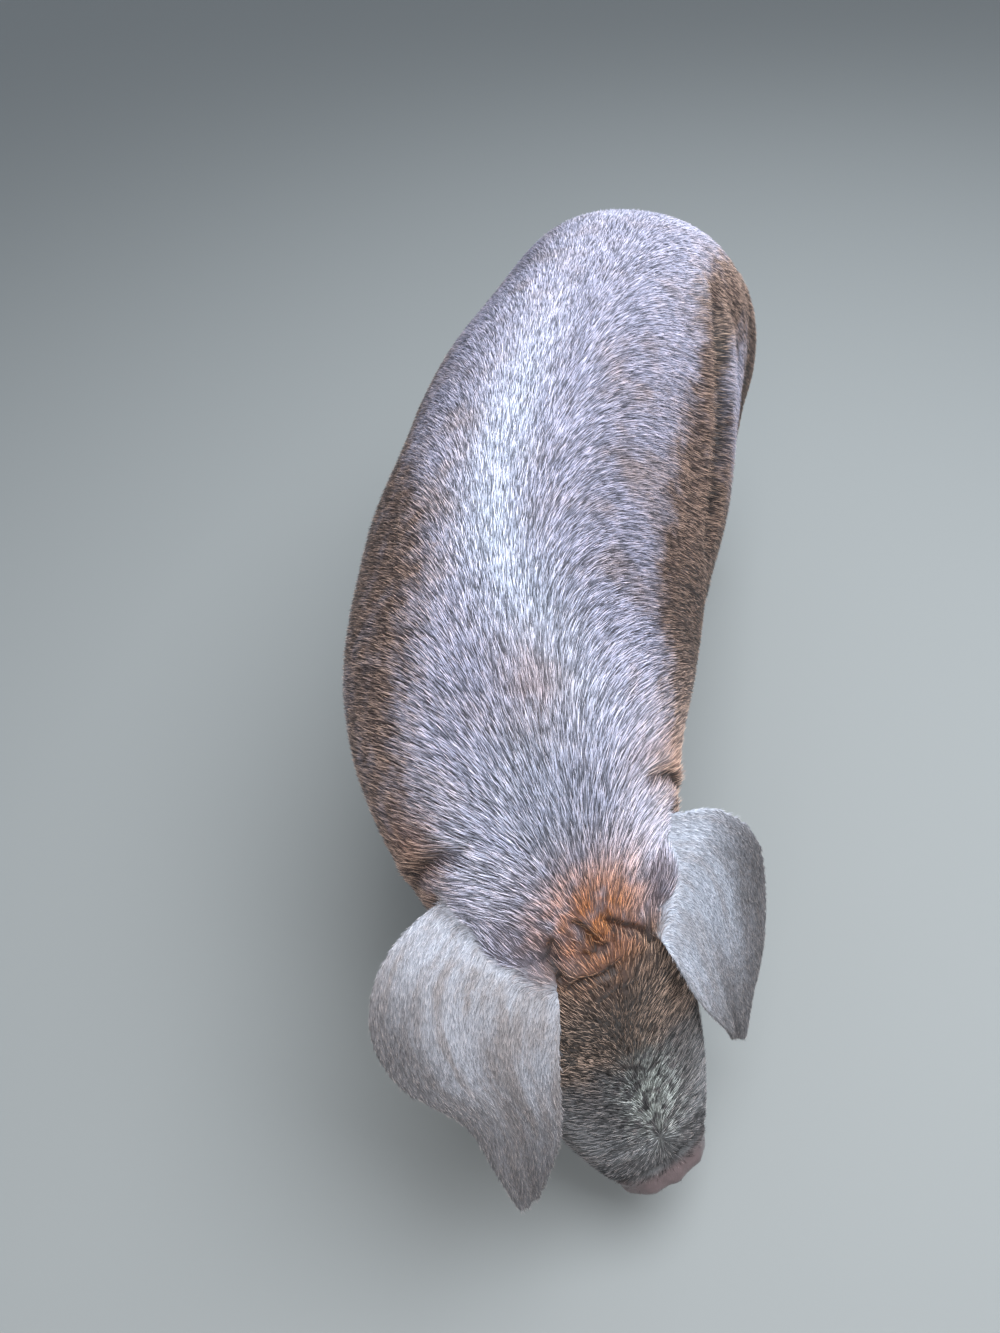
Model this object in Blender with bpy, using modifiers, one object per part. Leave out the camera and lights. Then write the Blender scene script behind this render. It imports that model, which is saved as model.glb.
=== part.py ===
"""A life-size domestic pig, standing with its head lowered and turned to its left.

Units are metres, +Z is up, the pig faces +X and its left side is +Y. The body is first modelled straight,
as overlapping masses that are fused and smoothed, then parted into its named pieces by thin cuts, and last
every piece is bent along the curve of the spine.
"""

import math

import bmesh
import bpy
import numpy as np
from mathutils import Matrix, Vector

# Driving sizes of the animal
BACK_HEIGHT = 0.835
BELLY_HEIGHT = 0.300
BODY_HALF_WIDTH = 0.232
TRUNK_REAR_X = -0.600
SHOULDER_X = 0.330
HEAD_LENGTH = 0.412
HEAD_HALF_WIDTH = 0.131
HEAD_PITCH = math.radians(56.0)
HEAD_BASE = Vector((0.672, 0.0, 0.450))
SNOUT_HALF_WIDTH = 0.062
SNOUT_HALF_HEIGHT = 0.043
SNOUT_DEPTH = 0.036
NOSTRIL_SPREAD = 0.024
MOUTH_CORNER = 0.222
MOUTH_LEVEL = -0.045
EYE_RADIUS = 0.0135
EYE_PLACE = (0.158, 0.0975, 0.042)
EAR_THICKNESS = 0.0075
EAR_CUP = 0.30
EAR_WAVE = 0.006
FORE_LEG_X = 0.290
HIND_LEG_X = -0.420
LEG_Y = 0.140
HOOF_HEIGHT = 0.046
CORONET_SLOPE = 0.20
TAIL_ROOT = Vector((-0.555, 0.0, 0.652))
GAP = 0.0003

# The pose: how far each foot is set forward, and how the neck turns
SIDES = {"left": 1, "right": -1}
FORE_STEPS = {"left": 0.020, "right": -0.020}
HIND_STEPS = {"left": -0.015, "right": 0.025}

# The curve of the spine: headings in degrees at places along the straight body, positive to the left
SPINE_PLACES = (-0.60, -0.20, 0.15, 0.40, 0.62, 0.80, 1.05)
SPINE_HEADINGS = (0.0, -2.5, 0.0, 7.0, 34.0, 45.0, 46.5)
SPINE_STEP = 0.01
SPINE_SOFTNESS = 13
SPINE_REACH = 0.40

# Where the neck and the shoulders are parted: a place and a direction along the body
NECK_PLANE = (Vector((0.655, 0.0, 0.440)), Vector((math.cos(0.82), 0.0, -math.sin(0.82))))
SHOULDER_PLANE = (Vector((0.46, 0.0, 0.52)), Vector((math.cos(0.314), 0.0, -math.sin(0.314))))

# Each ear in the head's axes, from root to tip: its outer edge (along, side, up), then its inner edge
EAR_EDGES = {
    "right": (
        (-0.045, 0.085, 0.010, 0.030, 0.040, 0.045),
        (-0.060, 0.160, 0.065, 0.050, 0.060, 0.095),
        (-0.045, 0.220, 0.090, 0.080, 0.075, 0.110),
        (0.010, 0.255, 0.085, 0.125, 0.095, 0.115),
        (0.085, 0.250, 0.070, 0.175, 0.110, 0.110),
        (0.165, 0.205, 0.060, 0.225, 0.125, 0.095),
        (0.245, 0.195, 0.055, 0.275, 0.150, 0.075),
        (0.300, 0.190, 0.050, 0.310, 0.165, 0.055),
    ),
    "left": (
        (-0.045, 0.080, 0.010, 0.030, 0.040, 0.045),
        (-0.050, 0.135, 0.055, 0.065, 0.060, 0.090),
        (-0.035, 0.185, 0.070, 0.085, 0.065, 0.105),
        (0.025, 0.225, 0.060, 0.115, 0.070, 0.105),
        (0.110, 0.230, 0.040, 0.155, 0.080, 0.095),
        (0.200, 0.210, 0.025, 0.210, 0.100, 0.075),
        (0.270, 0.180, 0.010, 0.275, 0.130, 0.040),
        (0.320, 0.160, 0.000, 0.315, 0.145, 0.010),
    ),
}

# A claw's outline from the sole up: share of its height, back, front and half width
HOOF_RINGS = (
    (0.00, -0.030, 0.052, 0.0195),
    (0.22, -0.033, 0.048, 0.0205),
    (0.55, -0.035, 0.041, 0.0200),
    (0.85, -0.035, 0.035, 0.0190),
    (1.00, -0.034, 0.032, 0.0180),
)
CLAW_MIDDLE = 0.0195
TOE_PINCH = 0.006

# A dewclaw from its root: (behind the foot, aside, height), and its radii
DEWCLAW_PATH = (
    (-0.020, 0.019, 0.076),
    (-0.036, 0.022, 0.070),
    (-0.046, 0.024, 0.060),
    (-0.050, 0.025, 0.048),
)
DEWCLAW_RADII = (0.0115, 0.0105, 0.0080, 0.0030)

# Where the legs are parted, on the straight body: heights, and how the upper cuts lean out
FORE_TOP = (0.338, (0.0, -0.45, 1.0))
HIND_TOP = (0.410, (0.25, -0.50, 1.0))
KNEE_HEIGHT = 0.222
HOCK_HEIGHT = 0.240
FETLOCK_HEIGHT = 0.099
FETLOCK_SLOPE = 0.25
BARREL_FRONT_X = 0.130
BARREL_REAR_X = -0.255

# How finely the forms are fused, and how many triangles and steps are kept
BODY_VOXEL = 0.0075
HEAD_VOXEL = 0.0042
BODY_SMOOTHING = 8
HEAD_SMOOTHING = 5
BODY_TRIANGLES = 5300
HEAD_TRIANGLES = 3250
EAR_ROWS = 18
EAR_COLUMNS = 8
LID_STEPS = 14
LID_SIDES = 6
HOOF_SIDES = 14
TAIL_STEPS = 12
TAIL_ROWS = 32

COLLECTION = "domestic_pig"


def clear_scene():
    """Removes whatever the scene holds, and makes the pig's own collection."""
    for obj in list(bpy.data.objects):
        bpy.data.objects.remove(obj, do_unlink=True)
    bpy.context.scene.collection.children.link(bpy.data.collections.new(COLLECTION))


def object_from(name, mesh):
    """A loose object that holds a copy of an edit mesh, which is then freed."""
    data = bpy.data.meshes.new(name)
    mesh.to_mesh(data)
    mesh.free()
    return bpy.data.objects.new(name, data)


def link(obj):
    """Puts an object in the pig's collection."""
    bpy.data.collections[COLLECTION].objects.link(obj)
    return obj


def material(name, colour, roughness):
    """A plain finish for one kind of tissue."""
    made = bpy.data.materials.new(name)
    made.use_nodes = True
    shader = made.node_tree.nodes["Principled BSDF"]
    shader.inputs["Base Color"].default_value = (*colour, 1.0)
    shader.inputs["Roughness"].default_value = roughness
    return made


def smooth_rows(rows, count):
    """The rows of a table, interpolated smoothly to count rows by a Catmull-Rom curve."""
    rows = np.array(rows, float)
    ends = np.vstack([2 * rows[0] - rows[1], rows, 2 * rows[-1] - rows[-2]])
    places = np.linspace(0, len(rows) - 1, count)
    index = np.minimum(places.astype(int), len(rows) - 2)
    t = (places - index)[:, None]
    p0, p1, p2, p3 = (ends[index + k] for k in range(4))
    return 0.5 * (
        2 * p1 + (p2 - p0) * t + (2 * p0 - 5 * p1 + 4 * p2 - p3) * t**2 + (3 * p1 - p0 - 3 * p2 + p3) * t**3
    )


def ring(half_width, up, down, power, sides):
    """A closed outline across a limb, as sides and heights, with its own reach up and down."""
    angle = np.arange(sides) * math.tau / sides
    side = np.sign(np.sin(angle)) * np.abs(np.sin(angle)) ** (2 / power) * half_width
    rise = np.sign(np.cos(angle)) * np.abs(np.cos(angle)) ** (2 / power)
    return side, np.where(rise > 0, rise * up, rise * down)


def mesh_from_rings(name, rings, blade=False):
    """A closed tube through rings of points, each end closed by a fan, or by a strip on a thin blade."""
    mesh = bmesh.new()
    loops = [[mesh.verts.new(point) for point in points] for points in rings]
    sides = len(loops[0])
    for first, second in zip(loops, loops[1:]):
        for k in range(sides):
            n = (k + 1) % sides
            mesh.faces.new((first[k], first[n], second[n], second[k]))
    for loop in (loops[0], loops[-1]):
        if blade:
            for k in range(sides // 2 - 1):
                mesh.faces.new((loop[k], loop[k + 1], loop[sides - 2 - k], loop[sides - 1 - k]))
            continue
        centre = mesh.verts.new(sum((v.co for v in loop), Vector()) / sides)
        for k in range(sides):
            mesh.faces.new((loop[k], loop[(k + 1) % sides], centre))
    bmesh.ops.recalc_face_normals(mesh, faces=mesh.faces)
    return object_from(name, mesh)


def trunk_loft(name, stations, count, sides):
    """A form along the side view. A station holds x, z, tilt in degrees, half width, up, down and power."""
    rings = []
    for x, z, tilt, half_width, up, down, power in smooth_rows(stations, count):
        side, rise = ring(half_width, up, down, power, sides)
        lean = math.radians(tilt)
        rings.append(
            [Vector((x + h * math.sin(lean), s, z + h * math.cos(lean))) for s, h in zip(side, rise)]
        )
    return mesh_from_rings(name, rings)


def leg_loft(name, stations, count, sides):
    """A leg from top to bottom. A station holds x, y, z, half depth fore and aft, and half width."""
    rings = []
    for x, y, z, depth, width in smooth_rows(stations, count):
        angles = [math.tau * k / sides for k in range(sides)]
        rings.append([Vector((x + depth * math.cos(a), y + width * math.sin(a), z)) for a in angles])
    return mesh_from_rings(name, rings)


def ellipsoid(name, centre, radii, turn=(0.0, 0.0, 0.0), segments=20):
    """A rounded mass, turned by angles in degrees about X, Y and Z."""
    mesh = bmesh.new()
    bmesh.ops.create_uvsphere(mesh, u_segments=segments, v_segments=segments // 2, radius=1.0)
    spin = Matrix.Rotation(math.radians(turn[2]), 4, "Z") @ Matrix.Rotation(math.radians(turn[1]), 4, "Y")
    spin = spin @ Matrix.Rotation(math.radians(turn[0]), 4, "X")
    place = Matrix.Translation(centre) @ spin @ Matrix.Diagonal((*radii, 1.0))
    bmesh.ops.transform(mesh, matrix=place, verts=mesh.verts)
    return object_from(name, mesh)


def head_matrix():
    """From the head's own axes (forward along the face, left, up off the forehead) to the body's."""
    return Matrix.Translation(HEAD_BASE) @ Matrix.Rotation(HEAD_PITCH, 4, "Y")


def head_point(along, side, up):
    """A place in the head's own axes, in the straight body's."""
    return head_matrix() @ Vector((along, side, up))


def spine_table():
    """Places along the straight body, and where the curved spine runs and points there."""
    along = np.arange(SPINE_PLACES[0], SPINE_PLACES[-1] + 0.2, SPINE_STEP)
    degrees = np.interp(along, SPINE_PLACES, SPINE_HEADINGS)
    soft = np.ones(SPINE_SOFTNESS) / SPINE_SOFTNESS
    heading = np.radians(np.convolve(np.pad(degrees, SPINE_SOFTNESS // 2, mode="edge"), soft, mode="valid"))
    x = SPINE_PLACES[0] + np.concatenate([[0], np.cumsum(np.cos(heading[:-1]) * SPINE_STEP)])
    y = np.concatenate([[0], np.cumsum(np.sin(heading[:-1]) * SPINE_STEP)])
    return along, x, y, heading


SPINE = spine_table()


def bent(points):
    """Where places of the straight body lie once it follows the curve of the spine; heights stay."""
    along, x, y, heading = SPINE
    points = np.atleast_2d(np.array(points, float))
    place = points[:, 0]
    turn = np.interp(place, along, heading)
    outside = np.minimum(place - along[0], 0.0) + np.maximum(place - along[-1], 0.0)
    cx = np.interp(place, along, x) + outside * np.cos(turn)
    cy = np.interp(place, along, y) + outside * np.sin(turn)
    return np.stack([cx - points[:, 1] * np.sin(turn), cy + points[:, 1] * np.cos(turn), points[:, 2]], 1)


def straightened(points):
    """The places of the straight body that bend to these."""
    along, x, y, heading = SPINE
    points = np.atleast_2d(np.array(points, float))
    dx, dy = points[:, :1] - x, points[:, 1:2] - y
    ahead = dx * np.cos(heading) + dy * np.sin(heading)
    aside = dy * np.cos(heading) - dx * np.sin(heading)
    best = np.argmin(np.abs(ahead) + (np.abs(aside) > SPINE_REACH), axis=1)
    rows = np.arange(len(points))
    return np.stack([along[best] + ahead[rows, best], aside[rows, best], points[:, 2]], 1)


def bent_plane(point, normal):
    """A cutting plane of the straight body, carried along by the curve of the spine."""
    turn = float(np.interp(point[0], SPINE[0], SPINE[3]))
    return Vector(bent(tuple(point))[0]), Matrix.Rotation(turn, 3, "Z") @ Vector(normal).normalized()


def turned(obj, centre):
    """Moves a stiff piece with the spine where its centre lies, without bending it."""
    place, _ = bent_plane(centre, (1, 0, 0))
    turn = float(np.interp(centre[0], SPINE[0], SPINE[3]))
    spin = Matrix.Rotation(turn, 4, "Z")
    obj.data.transform(Matrix.Translation(place) @ spin @ Matrix.Translation(-Vector(centre)))
    return obj


def posed(obj):
    """Bends an object's mesh along the curve of the spine."""
    points = np.empty(len(obj.data.vertices) * 3)
    obj.data.vertices.foreach_get("co", points)
    obj.data.vertices.foreach_set("co", bent(points.reshape(-1, 3)).ravel())
    obj.data.update()
    return obj


def trunk():
    """The barrel of the body with the neck, drawn in side view from the rump forward."""
    top, low, wide = BACK_HEIGHT, BELLY_HEIGHT, BODY_HALF_WIDTH
    rear = TRUNK_REAR_X
    stations = [
        (rear - 0.004, 0.560, 0, 0.030, 0.030, 0.045, 2.0),
        (rear + 0.020, 0.555, 0, 0.105, 0.100, 0.110, 2.1),
        (rear + 0.075, 0.550, 0, 0.166, 0.160, 0.145, 2.2),
        (rear + 0.170, 0.550, 0, 0.205, 0.218, 0.165, 2.2),
        (rear + 0.300, 0.545, 0, 0.214, top - 0.563, 0.200, 2.2),
        (rear + 0.450, 0.540, 0, wide - 0.008, top - 0.547, 0.225, 2.25),
        (rear + 0.620, 0.535, 0, wide, top - 0.535, 0.535 - low, 2.25),
        (rear + 0.780, 0.530, 2, wide - 0.004, top - 0.543, 0.530 - low, 2.2),
        (SHOULDER_X, 0.525, 6, wide - 0.006, 0.268, 0.215, 2.15),
        (SHOULDER_X + 0.130, 0.520, 16, 0.213, 0.228, 0.205, 2.15),
        (SHOULDER_X + 0.240, 0.488, 30, 0.184, 0.180, 0.185, 2.15),
        (SHOULDER_X + 0.325, 0.440, 42, 0.148, 0.134, 0.155, 2.1),
        (SHOULDER_X + 0.395, 0.395, 50, 0.095, 0.080, 0.110, 2.0),
    ]
    return trunk_loft("trunk", stations, 52, 48)


def head():
    """The skull's wedge, dished along the nose, widest at the jowls."""
    long, wide = HEAD_LENGTH, HEAD_HALF_WIDTH
    stations = [
        (-0.045, 0.000, 0.070, 0.055, 0.080, 2.0),
        (0.000, 0.000, wide - 0.010, 0.088, 0.120, 2.1),
        (0.060, 0.000, wide, 0.098, 0.130, 2.2),
        (0.120, 0.000, wide - 0.004, 0.090, 0.122, 2.3),
        (0.175, -0.003, 0.121, 0.069, 0.100, 2.3),
        (0.235, -0.008, 0.117, 0.056, 0.080, 2.3),
        (0.300, -0.010, 0.106, 0.049, 0.064, 2.4),
        (0.362, -0.007, 0.085, 0.045, 0.052, 2.4),
        (long - 0.014, -0.002, SNOUT_HALF_WIDTH + 0.002, SNOUT_HALF_HEIGHT + 0.002, SNOUT_HALF_HEIGHT, 2.3),
        (long, 0.000, SNOUT_HALF_WIDTH, SNOUT_HALF_HEIGHT, SNOUT_HALF_HEIGHT, 2.3),
    ]
    rings = []
    for along, middle, half_width, up, down, power in smooth_rows(stations, 40):
        side, rise = ring(half_width, up, down, power, 40)
        rings.append([head_point(along, s, middle + h) for s, h in zip(side, rise)])
    return mesh_from_rings("skull", rings)


def head_masses():
    """Cheeks, brows and jowls, alike on both sides, and the chin."""
    pitch = math.degrees(HEAD_PITCH)
    made = [ellipsoid("chin", head_point(0.325, 0, -0.060), (0.046, 0.042, 0.018), (0, pitch + 6, 0))]
    for s in (-1, 1):
        made += [
            ellipsoid("jowl", head_point(0.07, s * 0.084, -0.062), (0.112, 0.053, 0.074), (0, pitch, s * 6)),
            ellipsoid("cheek", head_point(0.15, s * 0.090, -0.01), (0.095, 0.034, 0.045), (0, pitch + 8, 0)),
            ellipsoid("brow", head_point(0.136, s * 0.074, 0.058), (0.05, 0.023, 0.016), (0, pitch + 12, 0)),
            ellipsoid("mound", head_point(0.012, s * 0.088, 0.052), (0.056, 0.036, 0.034), (0, pitch, 0)),
        ]
    return made


def fore_leg(side, step):
    """A foreleg from the shoulder to the coronet; step carries the foot forward."""
    y = side * LEG_Y
    stations = [
        (0.325, side * 0.130, 0.500, 0.110, 0.070),
        (0.305, side * 0.138, 0.430, 0.088, 0.066),
        (0.282, y, 0.365, 0.070, 0.058),
        (0.284 + 0.2 * step, y, 0.300, 0.053, 0.046),
        (0.290 + 0.4 * step, y, 0.250, 0.041, 0.039),
        (0.296 + 0.5 * step, y, 0.212, 0.042, 0.039),
        (0.291 + 0.6 * step, y, 0.172, 0.031, 0.029),
        (0.288 + 0.7 * step, y, 0.132, 0.028, 0.027),
        (0.292 + 0.9 * step, y, 0.098, 0.037, 0.034),
        (0.306 + step, y, 0.070, 0.035, 0.035),
        (0.320 + step, y, 0.042, 0.037, 0.038),
        (0.324 + step, y, 0.030, 0.036, 0.037),
    ]
    return leg_loft("fore_leg", stations, 44, 20)


def hind_leg(side, step):
    """A hind leg from the ham to the coronet, bent back at the hock."""
    y = side * LEG_Y
    stations = [
        (-0.415, side * 0.115, 0.560, 0.150, 0.085),
        (-0.410, side * 0.124, 0.480, 0.158, 0.086),
        (-0.405, side * 0.132, 0.410, 0.130, 0.076),
        (-0.420, y, 0.350, 0.092, 0.062),
        (-0.452, y, 0.300, 0.064, 0.050),
        (-0.482 + 0.2 * step, y, 0.262, 0.050, 0.040),
        (-0.488 + 0.4 * step, y, 0.228, 0.041, 0.035),
        (-0.478 + 0.5 * step, y, 0.185, 0.033, 0.030),
        (-0.470 + 0.7 * step, y, 0.142, 0.031, 0.028),
        (-0.462 + 0.9 * step, y, 0.102, 0.038, 0.035),
        (-0.446 + step, y, 0.072, 0.036, 0.035),
        (-0.432 + step, y, 0.042, 0.038, 0.038),
        (-0.428 + step, y, 0.030, 0.037, 0.037),
    ]
    return leg_loft("hind_leg", stations, 46, 22)


def muscle_masses():
    """Shoulders, hams, hock points and the brisket."""
    made = [ellipsoid("brisket", (0.400, 0, 0.385), (0.130, 0.105, 0.085), (0, 14, 0))]
    for s in (-1, 1):
        made += [
            ellipsoid("shoulder", (0.335, s * 0.130, 0.520), (0.120, 0.094, 0.200), (0, 12, 0)),
            ellipsoid("ham", (-0.445, s * 0.112, 0.500), (0.150, 0.108, 0.185), (0, -10, 0)),
            ellipsoid("hock", (-0.520, s * LEG_Y, 0.268), (0.020, 0.018, 0.034), (0, 12, 0), 12),
        ]
    return made


def mouth_height(along):
    """How high the line of the mouth runs in the head's axes, rising to its corner."""
    return MOUTH_LEVEL + 0.016 * max(0.0, (0.295 - along) / (0.295 - MOUTH_CORNER)) ** 2


def muzzle_half_width(along):
    """The half width of the muzzle at the line of the mouth."""
    places = (MOUTH_CORNER, 0.25, 0.31, 0.365, 0.392)
    return float(np.interp(along, places, (0.112, 0.106, 0.0915, 0.0665, 0.046)))


def lips():
    """A soft rim along each side of the mouth, above and below its line."""
    made = []
    places = np.linspace(MOUTH_CORNER + 0.002, 0.368, 14)
    for side in (-1, 1):
        for offset, radius in ((0.0065, 0.0068), (-0.0065, 0.0060)):
            inset = [muzzle_half_width(u) - 0.0015 for u in places]
            path = [head_point(u, side * y, mouth_height(u) + offset) for u, y in zip(places, inset)]
            made.append(tube("lip", path, [radius] * len(path), 10))
    return made


def tube(name, path, radii, sides):
    """A closed tube of round sections along a path."""
    rings = []
    normal = None
    for k, point in enumerate(path):
        ahead = (path[min(k + 1, len(path) - 1)] - path[max(k - 1, 0)]).normalized()
        normal = ahead.orthogonal() if normal is None else normal
        normal = (normal - ahead * normal.dot(ahead)).normalized()
        other = ahead.cross(normal)
        angles = [math.tau * n / sides for n in range(sides)]
        rings.append([point + (normal * math.cos(a) + other * math.sin(a)) * radii[k] for a in angles])
    return mesh_from_rings(name, rings)


def fused(name, pieces, voxel, rounds):
    """One closed surface round overlapping masses, with the creases between them softened."""
    joined = bmesh.new()
    for piece in pieces:
        joined.from_mesh(piece.data)
        bpy.data.objects.remove(piece)
    obj = posed(link(object_from(name, joined)))
    remesh = obj.modifiers.new("Fuse", "REMESH")
    remesh.mode = "VOXEL"
    remesh.voxel_size = voxel
    soften = obj.modifiers.new("Soften", "SMOOTH")
    soften.factor = 0.5
    soften.iterations = rounds
    return applied(obj)


def applied(obj):
    """The object with its modifiers made part of its mesh."""
    bpy.context.view_layer.update()
    graph = bpy.context.evaluated_depsgraph_get()
    data = bpy.data.meshes.new_from_object(obj.evaluated_get(graph))
    obj.modifiers.clear()
    obj.data = data
    return obj


def thinned(obj, triangles):
    """The object with about this many triangles, kept where the form bends."""
    triangulate = obj.modifiers.new("Triangles", "TRIANGULATE")
    triangulate.min_vertices = 4
    applied(obj)
    thin = obj.modifiers.new("Thin", "DECIMATE")
    thin.ratio = min(1.0, triangles / len(obj.data.polygons))
    return applied(obj)


def boolean(obj, others, operation):
    """Joins or cuts the object with closed meshes, which are then removed."""
    tools = bpy.data.collections.new("tools")
    for other in others:
        tools.objects.link(other)
    join = obj.modifiers.new("Join", "BOOLEAN")
    join.operand_type = "COLLECTION"
    join.collection = tools
    join.operation = operation
    join.solver = "EXACT"
    applied(obj)
    for other in others:
        bpy.data.objects.remove(other)
    bpy.data.collections.remove(tools)
    return obj


def parted(mesh, point, normal, region):
    """Cuts the faces inside a region along a plane, and closes both sides a small gap apart.

    The plane and the region are those of the straight body.
    """
    point, normal = bent_plane(point, normal)
    centres = straightened([f.calc_center_median() for f in mesh.faces])
    faces = [f for f, centre in zip(mesh.faces, centres) if region(centre)]
    edges = {e for f in faces for e in f.edges}
    verts = {v for f in faces for v in f.verts}
    cut = bmesh.ops.bisect_plane(
        mesh, geom=faces + list(edges) + list(verts), plane_co=point, plane_no=normal, dist=1e-6
    )
    rim = [e for e in cut["geom_cut"] if isinstance(e, bmesh.types.BMEdge)]
    bmesh.ops.split_edges(mesh, edges=rim)
    rim = [e for e in mesh.edges if e.is_boundary]
    sides = {v: 0 for e in rim for v in e.verts}
    for vert in sides:
        inside = sum((f.calc_center_median() - point).dot(normal) for f in vert.link_faces)
        sides[vert] = 1 if inside > 0 else -1
    for vert, way in sides.items():
        vert.co += normal * way * GAP / 2
    filled = bmesh.ops.holes_fill(mesh, edges=rim, sides=0)
    bmesh.ops.triangulate(mesh, faces=filled["faces"], ngon_method="EAR_CLIP")
    bmesh.ops.recalc_face_normals(mesh, faces=mesh.faces)


def islands(mesh):
    """The separate bodies of a mesh, as lists of faces."""
    left = set(mesh.faces)
    found = []
    while left:
        start = left.pop()
        body, edge = [start], [start]
        while edge:
            face = edge.pop()
            for near in {n for e in face.edges for n in e.link_faces}:
                if near in left:
                    left.remove(near)
                    body.append(near)
                    edge.append(near)
        found.append(body)
    return found


def island_meshes(mesh):
    """Each separate body as a mesh of its own, with the middle of its bounds."""
    found = []
    for faces in islands(mesh):
        verts = {v: None for f in faces for v in f.verts}
        body = bmesh.new()
        for v in verts:
            verts[v] = body.verts.new(v.co)
        for f in faces:
            body.faces.new([verts[v] for v in f.verts])
        places = np.array([v.co for v in verts])
        found.append((Vector((places.min(0) + places.max(0)) / 2), body))
    return found


def named_bodies(mesh, places):
    """Objects for the bodies nearest to named places; a body that no place names is dropped."""
    found = island_meshes(mesh)
    objects = {}
    for name, place in places.items():
        target = Vector(bent(tuple(place))[0])
        _, body = min(found, key=lambda item: (item[0] - target).length)
        objects[name] = link(object_from(name, body.copy()))
    for _, body in found:
        body.free()
    mesh.free()
    return objects


def largest_only(obj):
    """Keeps the largest closed surface of an object."""
    mesh = bmesh.new()
    mesh.from_mesh(obj.data)
    bodies = island_meshes(mesh)

    def volume(item):
        return abs(item[1].calc_volume(signed=True))

    best = max(bodies, key=volume)
    bmesh.ops.recalc_face_normals(best[1], faces=best[1].faces)
    best[1].to_mesh(obj.data)
    for _, body in bodies:
        body.free()
    mesh.free()
    return obj


def grown_copy(obj, distance):
    """A copy pushed out along its normals, to cut a neighbour with a gap."""
    mesh = bmesh.new()
    mesh.from_mesh(obj.data)
    mesh.normal_update()
    for vert in mesh.verts:
        vert.co += vert.normal * distance * vert.calc_shell_factor()
    return object_from("grown", mesh)


def ear(name, side, edges):
    """A cupped leaf of skin between its outer and inner edges, thinner towards its rim and its tip."""
    rows = [(Vector(row[:3]), Vector(row[3:])) for row in smooth_rows(edges, EAR_ROWS)]
    middle = [(outer + inner) / 2 for outer, inner in rows]
    rings = []
    for k, (outer, inner) in enumerate(rows):
        share = k / (EAR_ROWS - 1)
        ahead = (middle[min(k + 1, EAR_ROWS - 1)] - middle[max(k - 1, 0)]).normalized()
        across = (outer - inner) / 2
        face = across.cross(ahead).normalized()
        upper, lower = [], []
        for t in np.linspace(-1, 1, EAR_COLUMNS):
            lift = EAR_CUP * (1.0 - 0.6 * share) * (1 - t * t) * across.length
            lift += EAR_WAVE * math.sin(3.6 * share + 2.2 * t) * share
            point = middle[k] + across * t + face * lift
            half = EAR_THICKNESS / 2 * (1.2 - 0.5 * share) * (0.30 + 0.70 * math.sqrt(1 - t * t))
            upper.append(point + face * half)
            lower.append(point - face * half)
        ring_points = upper + lower[::-1]
        rings.append([head_matrix() @ Vector((q.x, side * q.y, q.z)) for q in ring_points])
    return link(mesh_from_rings(name, rings, blade=True))


def lid_ring(side):
    """The rim of both eyelids round one eye, an almond that leans with the face."""
    along_face, out_of_face, up_face = EYE_PLACE
    path = []
    for k in range(LID_STEPS):
        angle = math.tau * k / LID_STEPS
        along = math.cos(angle) * EYE_RADIUS * 1.22
        rise = math.sin(angle) * EYE_RADIUS * 0.86
        out = EYE_RADIUS * (0.42 - 0.22 * abs(math.cos(angle)))
        path.append(head_point(along_face + along, side * (out_of_face + out), up_face + rise))
    rings = []
    middle = sum(path, Vector()) / LID_STEPS
    for point in path:
        outward = (point - middle).normalized()
        axis = (head_matrix().to_3x3() @ Vector((0, side, 0))).normalized()
        angles = [math.tau * n / LID_SIDES for n in range(LID_SIDES)]
        rings.append([point + outward * math.cos(a) * 0.0052 + axis * math.sin(a) * 0.0048 for a in angles])
    mesh = bmesh.new()
    loops = [[mesh.verts.new(p) for p in points] for points in rings]
    for k, loop in enumerate(loops):
        after = loops[(k + 1) % LID_STEPS]
        for n in range(LID_SIDES):
            m = (n + 1) % LID_SIDES
            mesh.faces.new((loop[n], loop[m], after[m], after[n]))
    bmesh.ops.recalc_face_normals(mesh, faces=mesh.faces)
    return object_from("lid", mesh)


def mouth_cutter():
    """A thin sheet along the line of the mouth, turned down behind its corner, that frees the lower jaw."""
    places = list(np.linspace(HEAD_LENGTH + 0.03, MOUTH_CORNER, 16))
    profile = [(u, mouth_height(min(u, 0.38))) for u in places]
    corner = profile[-1]
    profile += [(corner[0] - 0.012, corner[1] - 0.020), (corner[0] - 0.022, corner[1] - 0.060)]
    profile += [(corner[0] - 0.030, corner[1] - 0.200)]
    mesh = bmesh.new()
    pairs = [[mesh.verts.new(head_point(u, y, v)) for y in (-0.25, 0.25)] for u, v in profile]
    for first, second in zip(pairs, pairs[1:]):
        mesh.faces.new((first[0], first[1], second[1], second[0]))
    obj = link(object_from("mouth", mesh))
    wall = obj.modifiers.new("Thickness", "SOLIDIFY")
    wall.thickness = GAP
    wall.offset = 0.0
    applied(obj)
    bpy.data.collections[COLLECTION].objects.unlink(obj)
    return obj


def hoof(name, foot, side, inner):
    """One claw: a flat sole, a steep wall and a toe that curves in towards its neighbour."""
    x, y = foot
    way = -side if inner else side
    rings = []
    for height, back, front, width in HOOF_RINGS:
        points = []
        for k in range(HOOF_SIDES):
            angle = math.tau * k / HOOF_SIDES
            reach = front if math.cos(angle) > 0 else -back
            along = math.cos(angle) * reach
            across = math.sin(angle) * width * (1 - 0.25 * max(0.0, math.cos(angle)) ** 2)
            across = max(across, -0.80 * width) + CLAW_MIDDLE - TOE_PINCH * max(0.0, math.cos(angle))
            z = height * (coronet_height(along) - GAP)
            points.append(Vector((x + along, y + way * across, z)))
        rings.append(points)
    return link(mesh_from_rings(name, rings))


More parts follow.
